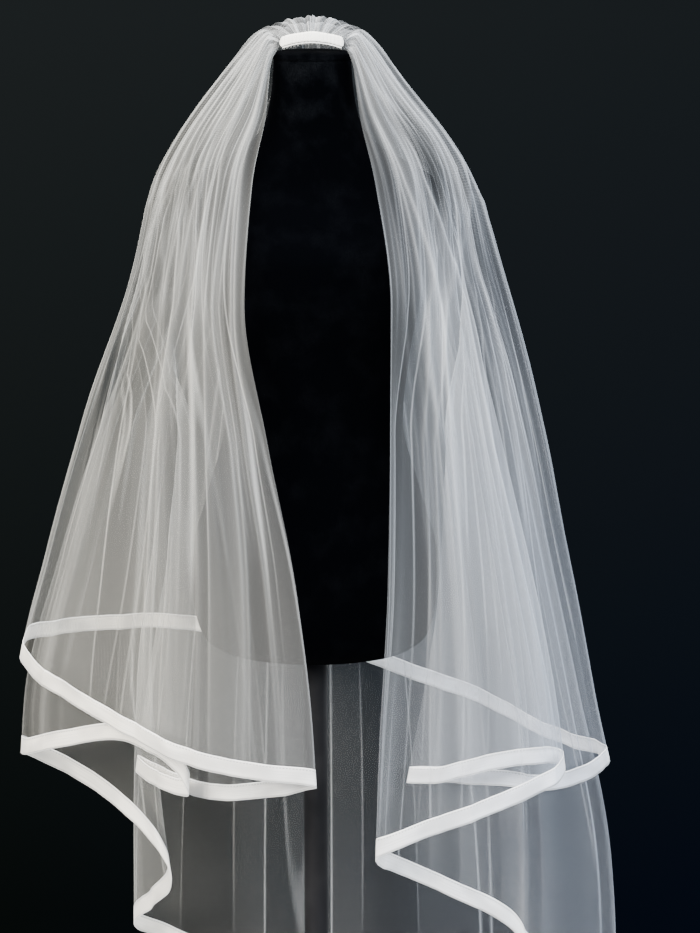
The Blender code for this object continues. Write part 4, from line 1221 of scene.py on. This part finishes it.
def hang_tier(name, sheet, rays, flip):
    """One tier of one side: its sheet of net and the ribbon along its hem, which has a wall."""
    net = (slice(0, NET_ROWS + 1), rays)
    edge = (slice(NET_ROWS + 1, None), rays)
    maps = (
        ("cloth", sheet["u"][net], sheet["v"][net]),
        ("weave", sheet["true_u"][net], sheet["v"][net]),
    )
    seen = [(key, sheet[key][net]) for key in ("cover", "folded", "gathered")]
    mesh = grid_mesh(f"veil_{name}", sheet["points"][net], maps, seen, flip)
    veil = new_piece(f"veil_{name}", mesh, net_material, f"net_{name}")
    over = np.linspace(0, RIBBON_WIDTH, RIBBON_ROWS + 1)[:, None]
    run = sheet["u"][edge]
    maps = (("cloth", run, np.broadcast_to(over, run.shape)),)
    mesh = grid_mesh(f"trim_{name}", sheet["points"][edge], maps, (), flip)
    trim = new_piece(f"trim_{name}", mesh, satin_material, f"ribbon_{name}")
    wall = trim.modifiers.new("thickness", "SOLIDIFY")
    wall.thickness = RIBBON_THICK
    wall.offset = 0.0


for word, side, own, other, upper, lower, folds, creases, thin in (
    ("left", -1.0, LEFT_GUIDES, RIGHT_GUIDES, LEFT_UPPER, LEFT_LOWER, LEFT_FOLDS, LEFT_CREASES,
     LEFT_THIN),
    ("right", 1.0, RIGHT_GUIDES, LEFT_GUIDES, RIGHT_UPPER, RIGHT_LOWER, RIGHT_FOLDS,
     RIGHT_CREASES, RIGHT_THIN),
):
    drape = Drape(own, other)
    sheet = side_grid(side, drape, FoldField(drape, folds, creases, thin), upper, lower)
    hang_tier(f"upper_{word}", sheet, slice(0, sheet["fold"] + 1), side > 0)
    hang_tier(f"lower_{word}", sheet, slice(sheet["fold"], None), side > 0)

# --- the dress form, its cap, the band, the comb and the stand ---

top_z, top_wide, top_front, top_back = FORM_SECTIONS[-1]
share, over, up = monotone(CAP_RINGS, np.linspace(0, len(CAP_RINGS) - 1, CAP_COUNT)).T
cap_sections = np.stack([
    top_z + SEAM_GAP + CAP_TALL * up, top_wide * share + CAP_OVER * over,
    top_front * share + CAP_OVER * over, top_back * share + CAP_OVER * over,
], axis=1)
base_profile = rounded((
    (BASE_RADIUS - BASE_RIM, 0.0), (BASE_RADIUS, BASE_RIM), (BASE_RADIUS, BASE_TALL - BASE_RIM),
    (BASE_RADIUS - BASE_RIM * 2, BASE_TALL), (COLLAR_RADIUS, BASE_TALL),
), BASE_RIM)
collar_top = BASE_TALL + COLLAR_TALL
pole_profile = rounded((
    (COLLAR_RADIUS, BASE_TALL + SEAM_GAP), (COLLAR_RADIUS, collar_top),
    (POLE_RADIUS, collar_top + COLLAR_CONE), (POLE_RADIUS, FORM_SECTIONS[0][0] - SEAM_GAP),
), POLE_ROUND)
for name, rings, look, slot, node in (
    ("torso_cover", form_rings(FORM_SECTIONS, FORM_RINGS), velvet_material, "black_velvet",
     "form_torso"),
    ("neck_top", form_rings(cap_sections, CAP_COUNT), velvet_material, "black_velvet",
     "neck_cap"),
    ("band_cover", band_rings(), band_material, "cream_band", "comb_band"),
    ("base_plate", turned_rings(base_profile), metal_material, "dark_metal", "stand_base"),
    ("pole", turned_rings(pole_profile), metal_material, "dark_metal", "stand_pole"),
):
    new_piece(name, ring_mesh(name, rings), look, node)
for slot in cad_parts["comb_teeth"].material_slots:
    slot.material = comb_material

# --- floor, light and camera ---

bpy.ops.mesh.primitive_circle_add(
    vertices=96, radius=FLOOR_RADIUS, fill_type="NGON", location=(0, 0, -FLOOR_DROP)
)
floor = bpy.context.object
floor.name = "floor"
floor.data.materials.append(plain_look("pale_floor", (0.62, 0.61, 0.59), 0.8)[0])

# the studio: a soft even fill on the object, and a dark backdrop where the camera looks past it
world = bpy.data.worlds.new("studio")
world.use_nodes = True
tree = world.node_tree
lit = tree.nodes["Background"]
lit.inputs[0].default_value = FILL_COLOUR
lit.inputs[1].default_value = FILL
toward = parts_of(tree, tree.nodes.new("ShaderNodeTexCoord").outputs["Generated"])
rightward = ramp(tree, toward[0], *BACKDROP_ACROSS)
downward = minus(tree, 1.0, ramp(tree, toward[2], *BACKDROP_UP))
corners = [(*colour, 1) for colour in BACKDROP]
high, low = (mixed(tree, rightward, *corners[k:k + 2]) for k in (0, 2))
dark = wired(tree, "ShaderNodeBackground", [(0, mixed(tree, downward, high, low)), (1, 1.0)])
path = tree.nodes.new("ShaderNodeLightPath")
blend = wired(
    tree, "ShaderNodeMixShader",
    [(0, path.outputs["Is Camera Ray"]), (1, lit.outputs[0]), (2, dark.outputs[0])],
)
tree.links.new(blend.outputs[0], tree.nodes["World Output"].inputs[0])
bpy.context.scene.world = world


def soft_light(name, place, target, size, power, colour):
    """A square area light that looks at a point."""
    lamp = bpy.data.lights.new(name, "AREA")
    lamp.size = size
    lamp.energy = power
    lamp.color = colour
    made = bpy.data.objects.new(name, lamp)
    bpy.context.scene.collection.objects.link(made)
    made.location = place
    x, y, z = np.array(place) - np.array(target)
    made.rotation_euler = (math.atan2(math.hypot(x, y), z), 0, math.atan2(y, x) + math.pi / 2)


for light in LIGHTS:
    soft_light(*light)

lens = bpy.data.cameras.new("view")
lens.sensor_fit = "HORIZONTAL"
lens.sensor_width = CAMERA_SENSOR
lens.lens = CAMERA_LENS
camera = bpy.data.objects.new("view", lens)
camera.location = CAMERA_PLACE
camera.rotation_euler = (math.radians(90 - CAMERA_DOWN), 0, 0)
bpy.context.scene.collection.objects.link(camera)
bpy.context.scene.camera = camera
